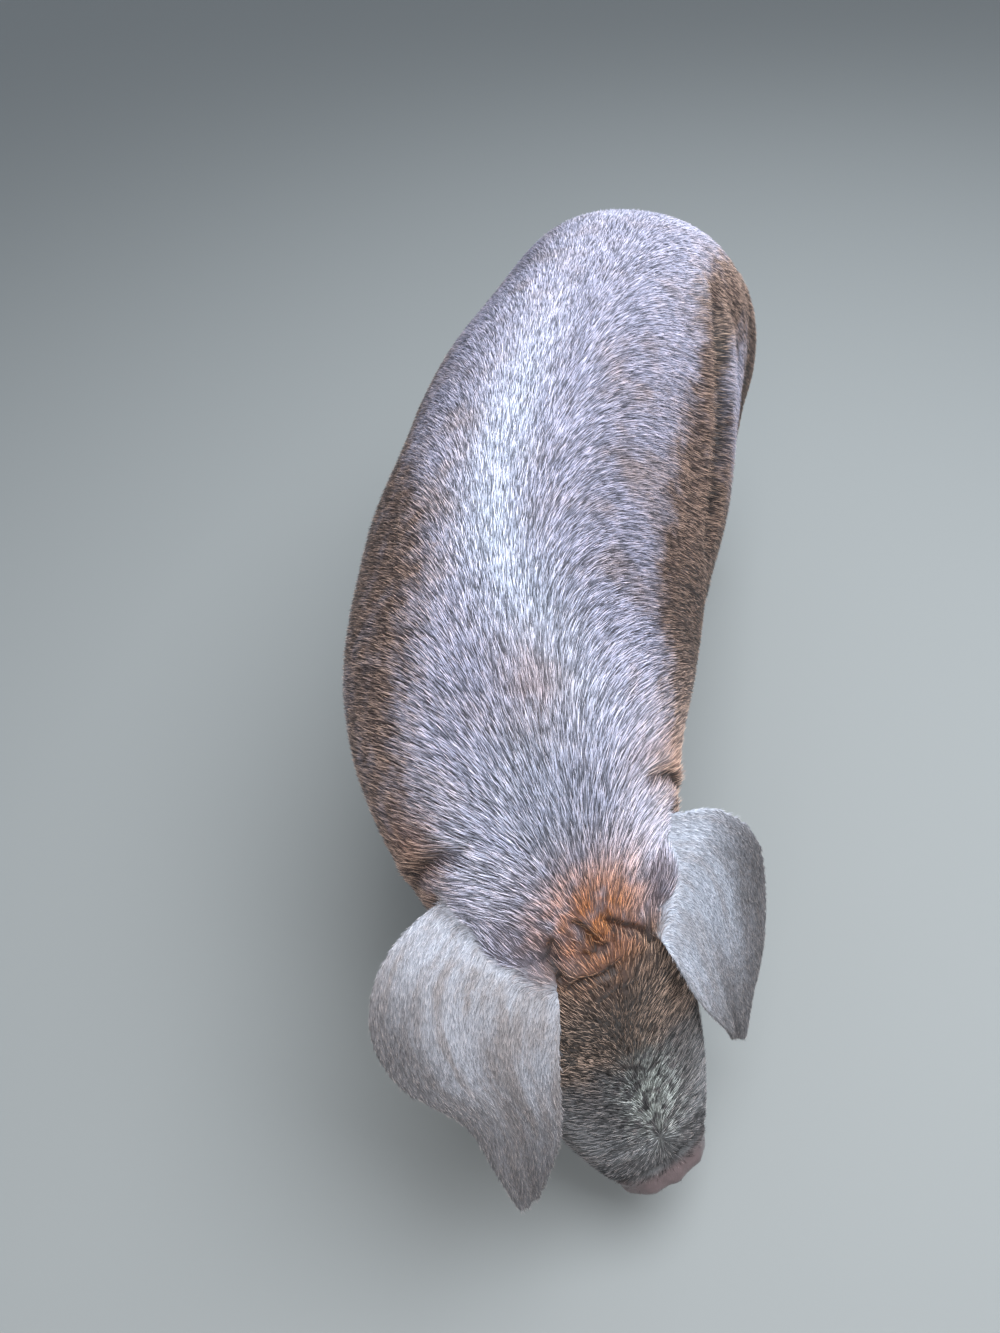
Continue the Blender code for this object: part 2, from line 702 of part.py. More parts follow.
def coronet_height(along):
    """The height of the line where horn meets skin; it slopes up towards the toe."""
    return HOOF_HEIGHT + CORONET_SLOPE * along


def dewclaw(name, foot, side, inner):
    """A small spare claw behind the pastern, pointing down and back."""
    x, y = foot
    way = -side if inner else side
    path = [Vector((x + a, y + way * b, z)) for a, b, z in DEWCLAW_PATH]
    return link(tube(name, path, DEWCLAW_RADII, 10))


def tail():
    """A tail that leaves the rump, hangs and makes one loose curl."""
    path = [TAIL_ROOT, TAIL_ROOT + Vector((-0.045, 0, 0.003)), TAIL_ROOT + Vector((-0.077, 0.004, -0.012))]
    for k in range(TAIL_STEPS):
        share = k / (TAIL_STEPS - 1)
        angle = math.radians(95 - 430 * share)
        radius = 0.036 - 0.010 * share
        centre = TAIL_ROOT + Vector((-0.091, 0.008 + 0.062 * share, -0.048 - 0.058 * share))
        path.append(centre + Vector((math.cos(angle), 0, math.sin(angle))) * radius)
    path = [Vector(row) for row in smooth_rows([tuple(p) for p in path], TAIL_ROWS)]
    radii = np.interp(np.linspace(0, 1, TAIL_ROWS), (0, 0.15, 0.6, 1), (0.019, 0.0145, 0.0100, 0.0055))
    return link(tube("tail", path, radii, 8))


def within(low, high):
    """A region test: whether a place lies in a box."""
    return lambda p: all(a < b < c for a, b, c in zip(low, p, high))


def side_box(side, x, y, z):
    """A box on one side of the body; y runs outward from the middle."""
    ends = sorted((side * y[0], side * y[1]))
    return within((x[0], ends[0], z[0]), (x[1], ends[1], z[1]))


def fore_foot(side, step):
    """Where a front foot stands."""
    return Vector((0.322 + step, side * LEG_Y, 0.0))


def hind_foot(side, step):
    """Where a hind foot stands."""
    return Vector((-0.430 + step, side * LEG_Y, 0.0))


def body_mesh():
    """Trunk, neck and legs as one surface, parted into closed bodies."""
    pieces = [trunk(), head()] + head_masses() + muscle_masses()
    for name, side in SIDES.items():
        pieces += [fore_leg(side, FORE_STEPS[name]), hind_leg(side, HIND_STEPS[name])]
    form = thinned(fused("body", pieces, BODY_VOXEL, BODY_SMOOTHING), BODY_TRIANGLES)
    mesh = bmesh.new()
    mesh.from_mesh(form.data)
    bpy.data.objects.remove(form)
    anywhere = within((-2, -2, 0.2), (2, 2, 2))
    parted(mesh, *NECK_PLANE, anywhere)
    parted(mesh, *SHOULDER_PLANE, within((0.30, -1, 0.2), (0.66, 1, 2)))
    parted(mesh, (BARREL_FRONT_X, 0, 0.5), (1, 0, 0), within((0.03, -1, 0.2), (0.21, 1, 2)))
    parted(mesh, (BARREL_REAR_X, 0, 0.5), (1, 0, 0), within((-0.36, -1, 0.25), (-0.15, 1, 2)))
    for name, side in SIDES.items():
        y = side * LEG_Y
        top, lean = FORE_TOP
        upper = side_box(side, (0.13, 0.50), (0.02, 0.40), (0.20, 0.50))
        lower = side_box(side, (0.15, 0.50), (0.02, 0.40), (-0.1, 0.29))
        foot = fore_foot(side, FORE_STEPS[name])
        parted(mesh, (FORE_LEG_X, y, top), (lean[0], side * lean[1], lean[2]), upper)
        parted(mesh, (FORE_LEG_X, y, KNEE_HEIGHT), (0, 0, 1), lower)
        parted(mesh, (FORE_LEG_X, y, FETLOCK_HEIGHT), (-FETLOCK_SLOPE, 0, 1), lower)
        parted(mesh, foot + Vector((0, 0, HOOF_HEIGHT)), (-CORONET_SLOPE, 0, 1), lower)
        top, lean = HIND_TOP
        upper = side_box(side, (-0.66, -0.20), (0.02, 0.40), (0.25, 0.60))
        lower = side_box(side, (-0.66, -0.25), (0.02, 0.40), (-0.1, 0.32))
        foot = hind_foot(side, HIND_STEPS[name])
        parted(mesh, (HIND_LEG_X, y, top), (lean[0], side * lean[1], lean[2]), upper)
        parted(mesh, (HIND_LEG_X, y, HOCK_HEIGHT), (0, 0, 1), lower)
        parted(mesh, (HIND_LEG_X - 0.040, y, FETLOCK_HEIGHT), (-FETLOCK_SLOPE, 0, 1), lower)
        parted(mesh, foot + Vector((0, 0, HOOF_HEIGHT)), (-CORONET_SLOPE, 0, 1), lower)
    return mesh


def body_places():
    """Where the middle of each named piece of the body lies."""
    places = {
        "neck": (0.57, 0, 0.47),
        "chest": (0.30, 0, 0.54),
        "barrel": (-0.06, 0, 0.56),
        "rump": (-0.43, 0, 0.57),
    }
    for name, side in SIDES.items():
        y = side * 0.14
        places["foreleg_" + name] = (0.29, y, 0.290)
        places["shin_" + name] = (0.29, y, 0.160)
        places["forefoot_" + name] = (0.31, y, 0.075)
        places["thigh_" + name] = (-0.43, y, 0.330)
        places["shank_" + name] = (-0.475, y, 0.170)
        places["hindfoot_" + name] = (-0.45, y, 0.075)
    return places


def head_form():
    """The head and the front of the neck as one finer surface, cut off at the neck."""
    pieces = [trunk(), head()] + head_masses() + lips()
    obj = fused("head", pieces, HEAD_VOXEL, HEAD_SMOOTHING)
    mesh = bmesh.new()
    mesh.from_mesh(obj.data)
    point, normal = bent_plane(*NECK_PLANE)
    geometry = mesh.verts[:] + mesh.edges[:] + mesh.faces[:]
    cut = bmesh.ops.bisect_plane(
        mesh, geom=geometry, plane_co=point + normal * GAP / 2, plane_no=normal, clear_inner=True
    )
    rim = [e for e in cut["geom_cut"] if isinstance(e, bmesh.types.BMEdge)]
    bmesh.ops.holes_fill(mesh, edges=rim, sides=0)
    mesh.to_mesh(obj.data)
    mesh.free()
    return thinned(obj, HEAD_TRIANGLES)


def eye_place(side):
    """The middle of an eye."""
    along, out, up = EYE_PLACE
    return head_point(along, side * out, up)


def head_pieces():
    """Head, lower jaw and snout: lids joined on, then eye sockets, mouth and nostrils cut."""
    form = head_form()
    boolean(form, [posed(lid_ring(side)) for side in SIDES.values()], "UNION")
    largest_only(form)
    cutters = []
    for side in SIDES.values():
        cutters.append(ellipsoid("socket", eye_place(side), (EYE_RADIUS + GAP,) * 3, segments=24))
        mouth_of_nostril = head_point(HEAD_LENGTH + 0.004, side * NOSTRIL_SPREAD, 0.002)
        end_of_nostril = head_point(HEAD_LENGTH - 0.016, side * (NOSTRIL_SPREAD + 0.001), 0.004)
        cutters.append(tube("nostril", (mouth_of_nostril, end_of_nostril), (0.0088, 0.0062), 14))
    boolean(form, [posed(cutter) for cutter in cutters], "DIFFERENCE")
    boolean(form, [turned(mouth_cutter(), head_point(0.30, 0, -0.045))], "DIFFERENCE")
    mesh = bmesh.new()
    mesh.from_mesh(form.data)
    bpy.data.objects.remove(form)
    snout_place = head_point(HEAD_LENGTH - SNOUT_DEPTH, 0, 0)
    face_direction = head_matrix().to_3x3() @ Vector((1, 0, 0))
    parted(mesh, snout_place, face_direction, lambda p: (Vector(p) - snout_place).length < 3 * SNOUT_DEPTH)
    places = {
        "head": head_point(0.15, 0, 0.0),
        "lower_jaw": head_point(0.275, 0, -0.062),
        "snout": head_point(HEAD_LENGTH - SNOUT_DEPTH / 2, 0, 0.0),
    }
    return named_bodies(mesh, places)


def feet(objects):
    """Hooves and dewclaws of every leg."""
    for name, side in SIDES.items():
        for limb, foot in (
            ("fore", fore_foot(side, FORE_STEPS[name])),
            ("hind", hind_foot(side, HIND_STEPS[name])),
        ):
            for place, inner in (("inner", True), ("outer", False)):
                label = f"{limb}_{name}_{place}"
                objects["hoof_" + label] = turned(hoof("hoof_" + label, (foot.x, foot.y), side, inner), foot)
                claw = posed(dewclaw("dewclaw_" + label, (foot.x, foot.y), side, inner))
                boolean(claw, [grown_copy(objects[f"{limb}foot_{name}"], GAP)], "DIFFERENCE")
                objects["dewclaw_" + label] = largest_only(claw)


def centred(objects):
    """Moves every piece so that the origin lies under the middle of the whole pig, on the floor."""
    corners = np.array([vert.co for obj in objects for vert in obj.data.vertices])
    shift = Vector((*((corners.min(0) + corners.max(0)) / 2)[:2], 0.0))
    for obj in objects:
        obj.data.transform(Matrix.Translation(-shift))


def finish(objects):
    """Gives each piece its material by its name."""
    hide = material("hide", (0.105, 0.078, 0.068), 0.75)
    face = material("face_hide", (0.120, 0.080, 0.062), 0.75)
    thin = material("ear_hide", (0.170, 0.130, 0.118), 0.80)
    wet = material("snout_skin", (0.150, 0.110, 0.105), 0.50)
    horn = material("horn", (0.095, 0.078, 0.062), 0.55)
    eye = material("eye_surface", (0.030, 0.014, 0.009), 0.10)
    by_start = {
        "head": face,
        "lower_jaw": face,
        "snout": wet,
        "ear": thin,
        "eye": eye,
        "hoof": horn,
        "dewclaw": horn,
    }
    for name, obj in objects.items():
        kind = name if name in by_start else name.split("_")[0]
        obj.data.materials.clear()
        obj.data.materials.append(by_start.get(kind, hide))


def main():
    """Builds the whole pig."""
    clear_scene()
    objects = head_pieces()
    objects.update(named_bodies(body_mesh(), body_places()))
    feet(objects)
    objects["tail"] = posed(tail())
    boolean(objects["tail"], [grown_copy(objects["rump"], GAP)], "DIFFERENCE")
    largest_only(objects["tail"])
    for name, side in SIDES.items():
        objects["ear_" + name] = posed(ear("ear_" + name, side, EAR_EDGES[name]))
        cutters = [grown_copy(objects["head"], GAP), grown_copy(objects["neck"], GAP)]
        boolean(objects["ear_" + name], cutters, "DIFFERENCE")
        largest_only(objects["ear_" + name])
        eye = ellipsoid("eye_" + name, eye_place(side), (EYE_RADIUS,) * 3, segments=14)
        objects["eye_" + name] = posed(link(eye))
    centred(objects.values())
    finish(objects)


main()
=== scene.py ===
"""Looks of a life-size domestic pig that stands with its head lowered and turned to its left.

One skin, fused from the same masses as the solids and set inside them by the depth of the coat, carries the
folds, lids, lips and nostrils. Short bristles lie over it the way a pig's hair grows, from the snout back to
the tail and down each limb. Eyes and horn are pieces of their own. Units are metres and +Z is up.
"""

import sys

import logging
import math
from dataclasses import dataclass, field
from enum import Enum
from typing import Any, Callable, Sequence

import bmesh
import bpy
import numpy as np
from mathutils import Matrix, Vector
from mathutils.kdtree import KDTree

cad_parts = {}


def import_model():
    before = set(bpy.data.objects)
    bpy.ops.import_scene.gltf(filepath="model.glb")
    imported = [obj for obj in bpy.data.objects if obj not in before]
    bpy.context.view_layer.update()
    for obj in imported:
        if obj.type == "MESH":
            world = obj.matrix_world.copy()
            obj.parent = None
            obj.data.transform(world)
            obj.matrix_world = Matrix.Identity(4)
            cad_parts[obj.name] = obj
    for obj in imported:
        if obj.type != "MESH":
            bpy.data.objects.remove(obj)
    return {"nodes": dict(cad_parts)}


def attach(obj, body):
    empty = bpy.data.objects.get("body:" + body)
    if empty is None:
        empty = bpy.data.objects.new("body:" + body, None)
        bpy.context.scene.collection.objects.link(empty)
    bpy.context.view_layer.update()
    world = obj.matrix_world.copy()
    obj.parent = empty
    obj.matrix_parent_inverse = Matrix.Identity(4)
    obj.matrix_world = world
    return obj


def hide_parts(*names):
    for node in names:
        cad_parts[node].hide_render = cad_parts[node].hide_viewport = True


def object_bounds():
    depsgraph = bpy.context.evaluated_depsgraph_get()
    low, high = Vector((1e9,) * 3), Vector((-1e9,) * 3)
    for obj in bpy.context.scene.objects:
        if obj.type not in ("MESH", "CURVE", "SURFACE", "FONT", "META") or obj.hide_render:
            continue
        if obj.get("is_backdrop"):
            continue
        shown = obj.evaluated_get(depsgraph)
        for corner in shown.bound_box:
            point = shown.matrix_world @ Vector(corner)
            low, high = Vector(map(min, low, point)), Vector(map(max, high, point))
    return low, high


Array = np.ndarray
Place = tuple[float, float, float]
Colour = tuple[float, float, float]
Settings = dict[str, Any]
Sockets = dict[Any, Any]
Table = Sequence[Sequence[float]]
Mesh = bpy.types.Mesh
Object = bpy.types.Object
Material = bpy.types.Material

logging.basicConfig(level=logging.INFO, format="%(message)s", stream=sys.stdout)
log = logging.getLogger("pig")


class Side(Enum):
    """The two sides of the animal, as the sign of Y on the straight body."""

    LEFT = 1
    RIGHT = -1

    @property
    def label(self) -> str:
        """The side's name as the solids spell it."""
        return self.name.lower()

    @property
    def mirror(self) -> Array:
        """Factors that carry a place on the left to this side."""
        return np.array([1.0, self.value, 1.0])


class Coat(Enum):
    """The parts of the coat, each a piece of its own."""

    BACK_LEFT = 0
    BACK_RIGHT = 1
    FLANK_LEFT = 2
    FLANK_RIGHT = 3
    RUMP = 4
    NECK = 5
    UNDERSIDE = 6
    LEGS = 7
    FACE = 8
    EAR_LEFT = 9
    EAR_RIGHT = 10


# The masks of the markings and of the painted light and shade, three to each vector that is stored on the
# skin
LAYERS = {
    "tones": ("crown", "band", "rust"),
    "spots": ("face", "dust", "ear"),
    "rest": ("bare", "below", "leg"),
    "marks": ("nape", "flush", "crease"),
    "shades": ("warm", "muzzle", "left"),
}

# How many bristles each part has, and how wide they are beside those of the back
BRISTLES = {
    Coat.BACK_LEFT: (55000, 1.0),
    Coat.BACK_RIGHT: (55000, 1.0),
    Coat.FLANK_LEFT: (42000, 1.0),
    Coat.FLANK_RIGHT: (42000, 1.0),
    Coat.RUMP: (40000, 1.0),
    Coat.NECK: (55000, 1.0),
    Coat.UNDERSIDE: (12000, 1.0),
    Coat.LEGS: (26000, 0.70),
    Coat.FACE: (50000, 0.65),
    Coat.EAR_LEFT: (28000, 0.50),
    Coat.EAR_RIGHT: (28000, 0.50),
}


# Shapes made of numbers


def smooth_rows(rows: Table, count: int) -> Array:
    """Rows of a table, interpolated smoothly.

    Args:
        rows: The table, one station a row.
        count: How many rows to give back.

    Returns:
        The rows of a Catmull-Rom curve through the table.
    """
    table = np.array(rows, float)
    ends = np.vstack([2 * table[0] - table[1], table, 2 * table[-1] - table[-2]])
    places = np.linspace(0, len(table) - 1, count)
    index = np.minimum(places.astype(int), len(table) - 2)
    t = (places - index)[:, None]
    p0, p1, p2, p3 = (ends[index + k] for k in range(4))
    cubic = (3 * p1 - p0 - 3 * p2 + p3) * t**3
    return 0.5 * (2 * p1 + (p2 - p0) * t + (2 * p0 - 5 * p1 + 4 * p2 - p3) * t**2 + cubic)


def ramp(values: Array, low: float, high: float) -> Array:
    """A soft step: 0 at low and before it, 1 at high and past it."""
    t = np.clip((values - low) / (high - low), 0.0, 1.0)
    return t * t * (3 - 2 * t)


def hump(values: Array, middle: Array | float, width: Array | float) -> Array:
    """A soft rise: 1 at the middle, 0.37 a width away from it, and hardly any past two."""
    return np.exp(-(((values - middle) / width) ** 2))


def unit(vectors: Array) -> Array:
    """Rows of vectors, each of length one."""
    return vectors / np.maximum(np.linalg.norm(vectors, axis=1, keepdims=True), 1e-9)


def outline(half_width: float, up: float, down: float, power: float, sides: int) -> Array:
    """A closed outline across the body, as sides and heights.

    Args:
        half_width: Half the width.
        up: Reach above the middle.
        down: Reach below the middle.
        power: 2 for an ellipse, more for a squarer outline.
        sides: How many points.

    Returns:
        A row of sides and a row of heights.
    """
    angle = np.arange(sides) * math.tau / sides
    side = np.sign(np.sin(angle)) * np.abs(np.sin(angle)) ** (2 / power) * half_width
    rise = np.sign(np.cos(angle)) * np.abs(np.cos(angle)) ** (2 / power)
    return np.stack([side, np.where(rise > 0, rise * up, rise * down)])


@dataclass
class Mass:
    """A closed form that is fused into the skin: its points and its faces."""

    points: Array
    faces: list[tuple[int, ...]]

    @classmethod
    def through(cls, rings: Sequence[Array], blade: bool = False) -> "Mass":
        """A tube through rings of points.

        Args:
            rings: Rings with equal numbers of points.
            blade: Whether the ends are closed by strips, as on a thin leaf, and not by fans.

        Returns:
            The closed form.
        """
        count, sides = len(rings), len(rings[0])
        points = [np.vstack(rings)]
        faces = []
        for row in range(count - 1):
            a, b = row * sides, (row + 1) * sides
            faces += [(a + k, a + (k + 1) % sides, b + (k + 1) % sides, b + k) for k in range(sides)]
        for end in (0, count - 1):
            a = end * sides
            if blade:
                pairs = range(sides // 2 - 1)
                faces += [(a + k, a + k + 1, a + sides - 2 - k, a + sides - 1 - k) for k in pairs]
                continue
            centre = count * sides + len(points) - 1
            points.append(rings[end].mean(0)[None])
            faces += [(a + k, a + (k + 1) % sides, centre) for k in range(sides)]
        return cls(np.vstack(points), faces)

    @classmethod
    def ellipsoid(cls, centre: Array, radii: Place, turn: Place = (0.0, 0.0, 0.0)) -> "Mass":
        """A rounded mass, turned by angles in degrees about X, Y and Z.

        Args:
            centre: Where its middle is.
            radii: Its three half sizes.
            turn: Angles in degrees about X, Y and Z.

        Returns:
            The closed form.
        """
        ball = bmesh.new()
        bmesh.ops.create_uvsphere(ball, u_segments=36, v_segments=20, radius=1.0)
        x, y, z = (math.radians(angle) for angle in turn)
        spin = Matrix.Rotation(z, 4, "Z") @ Matrix.Rotation(y, 4, "Y") @ Matrix.Rotation(x, 4, "X")
        place = Matrix.Translation(Vector(centre)) @ spin @ Matrix.Diagonal((*radii, 1.0))
        bmesh.ops.transform(ball, matrix=place, verts=ball.verts)
        ball.verts.ensure_lookup_table()
        points = np.array([v.co for v in ball.verts])
        made = cls(points, [tuple(v.index for v in f.verts) for f in ball.faces])
        ball.free()
        return made

    @classmethod
    def tube(cls, path: Array, radii: Sequence[float], sides: int = 16) -> "Mass":
        """A round tube along a path, with a radius at each point.

        Args:
            path: Points along its middle.
            radii: A radius for each point.
            sides: How many sides it has.

        Returns:
            The closed form.
        """
        ahead = unit(np.gradient(np.array(path, float), axis=0))
        normal = np.array(Vector(ahead[0]).orthogonal().normalized())
        rings = []
        for point, forward, radius in zip(path, ahead, radii):
            normal = normal - forward * normal.dot(forward)
            normal /= np.linalg.norm(normal)
            other = np.cross(forward, normal)
            angle = np.arange(sides)[:, None] * math.tau / sides
            rings.append(point + (normal * np.cos(angle) + other * np.sin(angle)) * radius)
        return cls.through(rings)


@dataclass
class Spine:
    """The curve of the spine, which carries the straight body into its pose."""

    places: tuple[float, ...] = (-0.60, -0.20, 0.15, 0.40, 0.62, 0.80, 1.05)
    headings: tuple[float, ...] = (0.0, -2.5, 0.0, 7.0, 34.0, 45.0, 46.5)
    step: float = 0.01
    softness: int = 13
    rounds: int = 14
    pull: float = 0.7
    middle: Place = (0.12853, 0.04871, 0.0)
    along: Array = field(init=False)
    line: Array = field(init=False)
    heading: Array = field(init=False)

    def __post_init__(self) -> None:
        """Works out the line that the spine follows."""
        self.along = np.arange(self.places[0], self.places[-1] + 0.2, self.step)
        degrees = np.pad(np.interp(self.along, self.places, self.headings), self.softness // 2, mode="edge")
        self.heading = np.radians(np.convolve(degrees, np.ones(self.softness) / self.softness, mode="valid"))
        steps = np.stack([np.cos(self.heading[:-1]), np.sin(self.heading[:-1])], 1) * self.step
        start = np.array([[self.places[0], 0.0]])
        self.line = np.vstack([start, start + np.cumsum(steps, 0)])

    def _at(self, place: Array) -> tuple[Array, Array, Array]:
        """Heading and position of the line at places along the straight body.

        Args:
            place: Places along the straight body.

        Returns:
            Heading, X and Y of the line at each.
        """
        turn = np.interp(place, self.along, self.heading)
        over = np.minimum(place - self.along[0], 0.0) + np.maximum(place - self.along[-1], 0.0)
        x = np.interp(place, self.along, self.line[:, 0]) + over * np.cos(turn)
        y = np.interp(place, self.along, self.line[:, 1]) + over * np.sin(turn)
        return turn, x, y

    def bend(self, points: Array) -> Array:
        """Where places of the straight body lie in the pose.

        Args:
            points: Places on the straight body.

        Returns:
            The same places in the pose.
        """
        turn, x, y = self._at(points[:, 0])
        aside = points[:, 1]
        bent = np.stack([x - aside * np.sin(turn), y + aside * np.cos(turn), points[:, 2]], 1)
        return bent - np.array(self.middle)

    def straighten(self, points: Array) -> Array:
        """The places of the straight body that bend to these.

        Args:
            points: Places in the pose.

        Returns:
            The same places on the straight body.
        """
        points = points + np.array(self.middle)
        place = points[:, 0].copy()
        for _ in range(self.rounds):
            turn, x, y = self._at(place)
            place += self.pull * ((points[:, 0] - x) * np.cos(turn) + (points[:, 1] - y) * np.sin(turn))
        turn, x, y = self._at(place)
        aside = (points[:, 1] - y) * np.cos(turn) - (points[:, 0] - x) * np.sin(turn)
        return np.stack([place, aside, points[:, 2]], 1)

    def turn_directions(self, place: Array, directions: Array) -> Array:
        """Directions of the straight body, as they point in the pose.

        Args:
            place: Where each direction is, along the straight body.
            directions: Directions, one a row.

        Returns:
            The turned directions.
        """
        turn = self._at(place)[0]
        x = directions[:, 0] * np.cos(turn) - directions[:, 1] * np.sin(turn)
        y = directions[:, 0] * np.sin(turn) + directions[:, 1] * np.cos(turn)
        return np.stack([x, y, directions[:, 2]], 1)


@dataclass
class HeadAxes:
    """The head's own axes: along the face, to the left, and up off the forehead."""

    base: Place = (0.672, 0.0, 0.450)
    pitch: float = math.radians(56.0)

    def matrix(self) -> Array:
        """Columns that turn the head's axes into the straight body's."""
        c, s = math.cos(self.pitch), math.sin(self.pitch)
        return np.array([[c, 0, s], [0, 1, 0], [-s, 0, c]])

    def place(self, points: Array) -> Array:
        """Places in the head's axes, on the straight body."""
        return np.atleast_2d(points) @ self.matrix().T + np.array(self.base)

    def local(self, points: Array) -> Array:
        """Places of the straight body, in the head's axes."""
        return (points - np.array(self.base)) @ self.matrix()


# The animal's forms

# Stations of a leg from top to bottom: x, the share of the leg's step forward, y on the left side,
# z, half the depth fore and aft, and half the width
FORE_LEG = (
    (0.325, 0.0, 0.130, 0.500, 0.110, 0.070),
    (0.305, 0.0, 0.138, 0.430, 0.088, 0.066),
    (0.282, 0.0, 0.140, 0.365, 0.070, 0.058),
    (0.284, 0.2, 0.140, 0.300, 0.053, 0.046),
    (0.290, 0.4, 0.140, 0.250, 0.041, 0.039),
    (0.296, 0.5, 0.140, 0.212, 0.042, 0.039),
    (0.291, 0.6, 0.140, 0.172, 0.031, 0.029),
    (0.288, 0.7, 0.140, 0.132, 0.028, 0.027),
    (0.292, 0.9, 0.140, 0.098, 0.037, 0.034),
    (0.306, 1.0, 0.140, 0.070, 0.035, 0.035),
    (0.320, 1.0, 0.140, 0.048, 0.036, 0.037),
    (0.322, 1.0, 0.140, 0.036, 0.026, 0.030),
)
HIND_LEG = (
    (-0.415, 0.0, 0.115, 0.560, 0.150, 0.085),
    (-0.410, 0.0, 0.124, 0.480, 0.158, 0.086),
    (-0.405, 0.0, 0.132, 0.410, 0.130, 0.076),
    (-0.420, 0.0, 0.140, 0.350, 0.092, 0.062),
    (-0.452, 0.0, 0.140, 0.300, 0.064, 0.050),
    (-0.482, 0.2, 0.140, 0.262, 0.050, 0.040),
    (-0.488, 0.4, 0.140, 0.228, 0.041, 0.035),
    (-0.478, 0.5, 0.140, 0.185, 0.033, 0.030),
    (-0.470, 0.7, 0.140, 0.142, 0.031, 0.028),
    (-0.462, 0.9, 0.140, 0.102, 0.038, 0.035),
    (-0.446, 1.0, 0.140, 0.072, 0.036, 0.035),
    (-0.434, 1.0, 0.140, 0.048, 0.036, 0.037),
    (-0.430, 1.0, 0.140, 0.036, 0.026, 0.030),
)


@dataclass
class Trunk:
    """Barrel, neck, shoulders, hams and legs, set in by the depth of the coat."""

    back_height: float = 0.835
    belly_height: float = 0.300
    half_width: float = 0.232
    rear: float = -0.600
    shoulder: float = 0.330
    coat_depth: float = 0.0035
    leg_coat_depth: float = 0.0015
    fore_steps: tuple[float, float] = (0.020, -0.020)
    hind_steps: tuple[float, float] = (-0.015, 0.025)

    def barrel(self) -> Mass:
        """The body from the rump to the back of the head, drawn in side view.

        Returns:
            The closed form.
        """
        top, low, wide, rear = self.back_height, self.belly_height, self.half_width, self.rear
        front = self.shoulder
        stations = [
            (rear - 0.004, 0.560, 0, 0.030, 0.030, 0.045, 2.0),
            (rear + 0.020, 0.555, 0, 0.105, 0.100, 0.110, 2.1),
            (rear + 0.075, 0.550, 0, 0.166, 0.160, 0.145, 2.2),
            (rear + 0.170, 0.550, 0, 0.205, 0.218, 0.165, 2.2),
            (rear + 0.300, 0.545, 0, 0.214, top - 0.563, 0.200, 2.2),
            (rear + 0.450, 0.540, 0, wide - 0.008, top - 0.547, 0.225, 2.25),
            (rear + 0.620, 0.535, 0, wide, top - 0.535, 0.535 - low, 2.25),
            (rear + 0.780, 0.530, 2, wide - 0.004, top - 0.543, 0.530 - low, 2.2),
            (front, 0.525, 6, wide - 0.006, 0.268, 0.215, 2.15),
            (front + 0.130, 0.520, 16, 0.213, 0.228, 0.205, 2.15),
            (front + 0.240, 0.488, 30, 0.184, 0.180, 0.185, 2.15),
            (front + 0.325, 0.440, 42, 0.148, 0.134, 0.155, 2.1),
            (front + 0.395, 0.395, 50, 0.095, 0.080, 0.110, 2.0),
        ]
        inset = self.coat_depth
        rings = []
        for x, z, tilt, wide, up, down, power in smooth_rows(stations, 110):
            side, rise = outline(wide - inset, up - inset, down - inset, power, 96)
            lean = math.radians(tilt)
            rings.append(np.stack([x + rise * math.sin(lean), side, z + rise * math.cos(lean)], 1))
        return Mass.through(rings)

    def leg(self, table: Table, side: Side, step: float) -> Mass:
        """A leg, from the body down into the claws.

        Args:
            table: The leg's stations.
            side: The side that it is on.
            step: How far its foot is set forward.

        Returns:
            The closed form.
        """
        stations = [(x + share * step, side.value * y, *rest) for x, share, y, *rest in table]
        angle = np.arange(32) * math.tau / 32
        inset = self.leg_coat_depth
        rings = []
        for x, y, z, depth, width in smooth_rows(stations, 80):
            ring = [x + (depth - inset) * np.cos(angle), y + (width - inset) * np.sin(angle), z + 0 * angle]
            rings.append(np.stack(ring, 1))
        return Mass.through(rings)

    def muscles(self) -> list[Mass]:
        """Shoulders, hams, hock points and the brisket.

        Returns:
            One form for each, and the legs.
        """
        d = self.coat_depth
        made = [Mass.ellipsoid((0.400, 0, 0.385), (0.130 - d, 0.105 - d, 0.085 - d), (0, 14, 0))]
        shoulder, ham = (0.120 - d, 0.094 - d, 0.200 - d), (0.150 - d, 0.108 - d, 0.185 - d)
        for side, fore_step, hind_step in zip(Side, self.fore_steps, self.hind_steps):
            s = side.value
            made += [
                Mass.ellipsoid((0.335, s * 0.130, 0.520), shoulder, (0, 12, 0)),
                Mass.ellipsoid((-0.445, s * 0.112, 0.500), ham, (0, -10, 0)),
                Mass.ellipsoid((-0.520, s * 0.140, 0.268), (0.019, 0.017, 0.033), (0, 12, 0)),
                self.leg(FORE_LEG, side, fore_step),
                self.leg(HIND_LEG, side, hind_step),
            ]
        return made


@dataclass
class Tail:
    """The tail: it leaves the rump, hangs and makes one loose curl."""

    root: Place = (-0.555, 0.0, 0.652)

    def path(self) -> Array:
        """The middle line, from the root to the tip.

        Returns:
            Points on the straight body.
        """
        root = np.array(self.root)
        rows = [root, root + (-0.045, 0, 0.003), root + (-0.077, 0.004, -0.012)]
        for share in np.linspace(0, 1, 12):
            angle = math.radians(95 - 430 * share)
            centre = root + (-0.091, 0.008 + 0.062 * share, -0.048 - 0.058 * share)
            rows.append(centre + np.array([math.cos(angle), 0, math.sin(angle)]) * (0.036 - 0.010 * share))
        return smooth_rows(rows, 90)

    def mass(self) -> Mass:
        """The tail's own flesh, thinner towards the tip.

        Returns:
            The closed form.
        """
        path = self.path()
        share = np.linspace(0, 1, len(path))
        return Mass.tube(path, np.interp(share, (0, 0.15, 0.6, 1), (0.018, 0.0135, 0.0092, 0.0050)), 20)


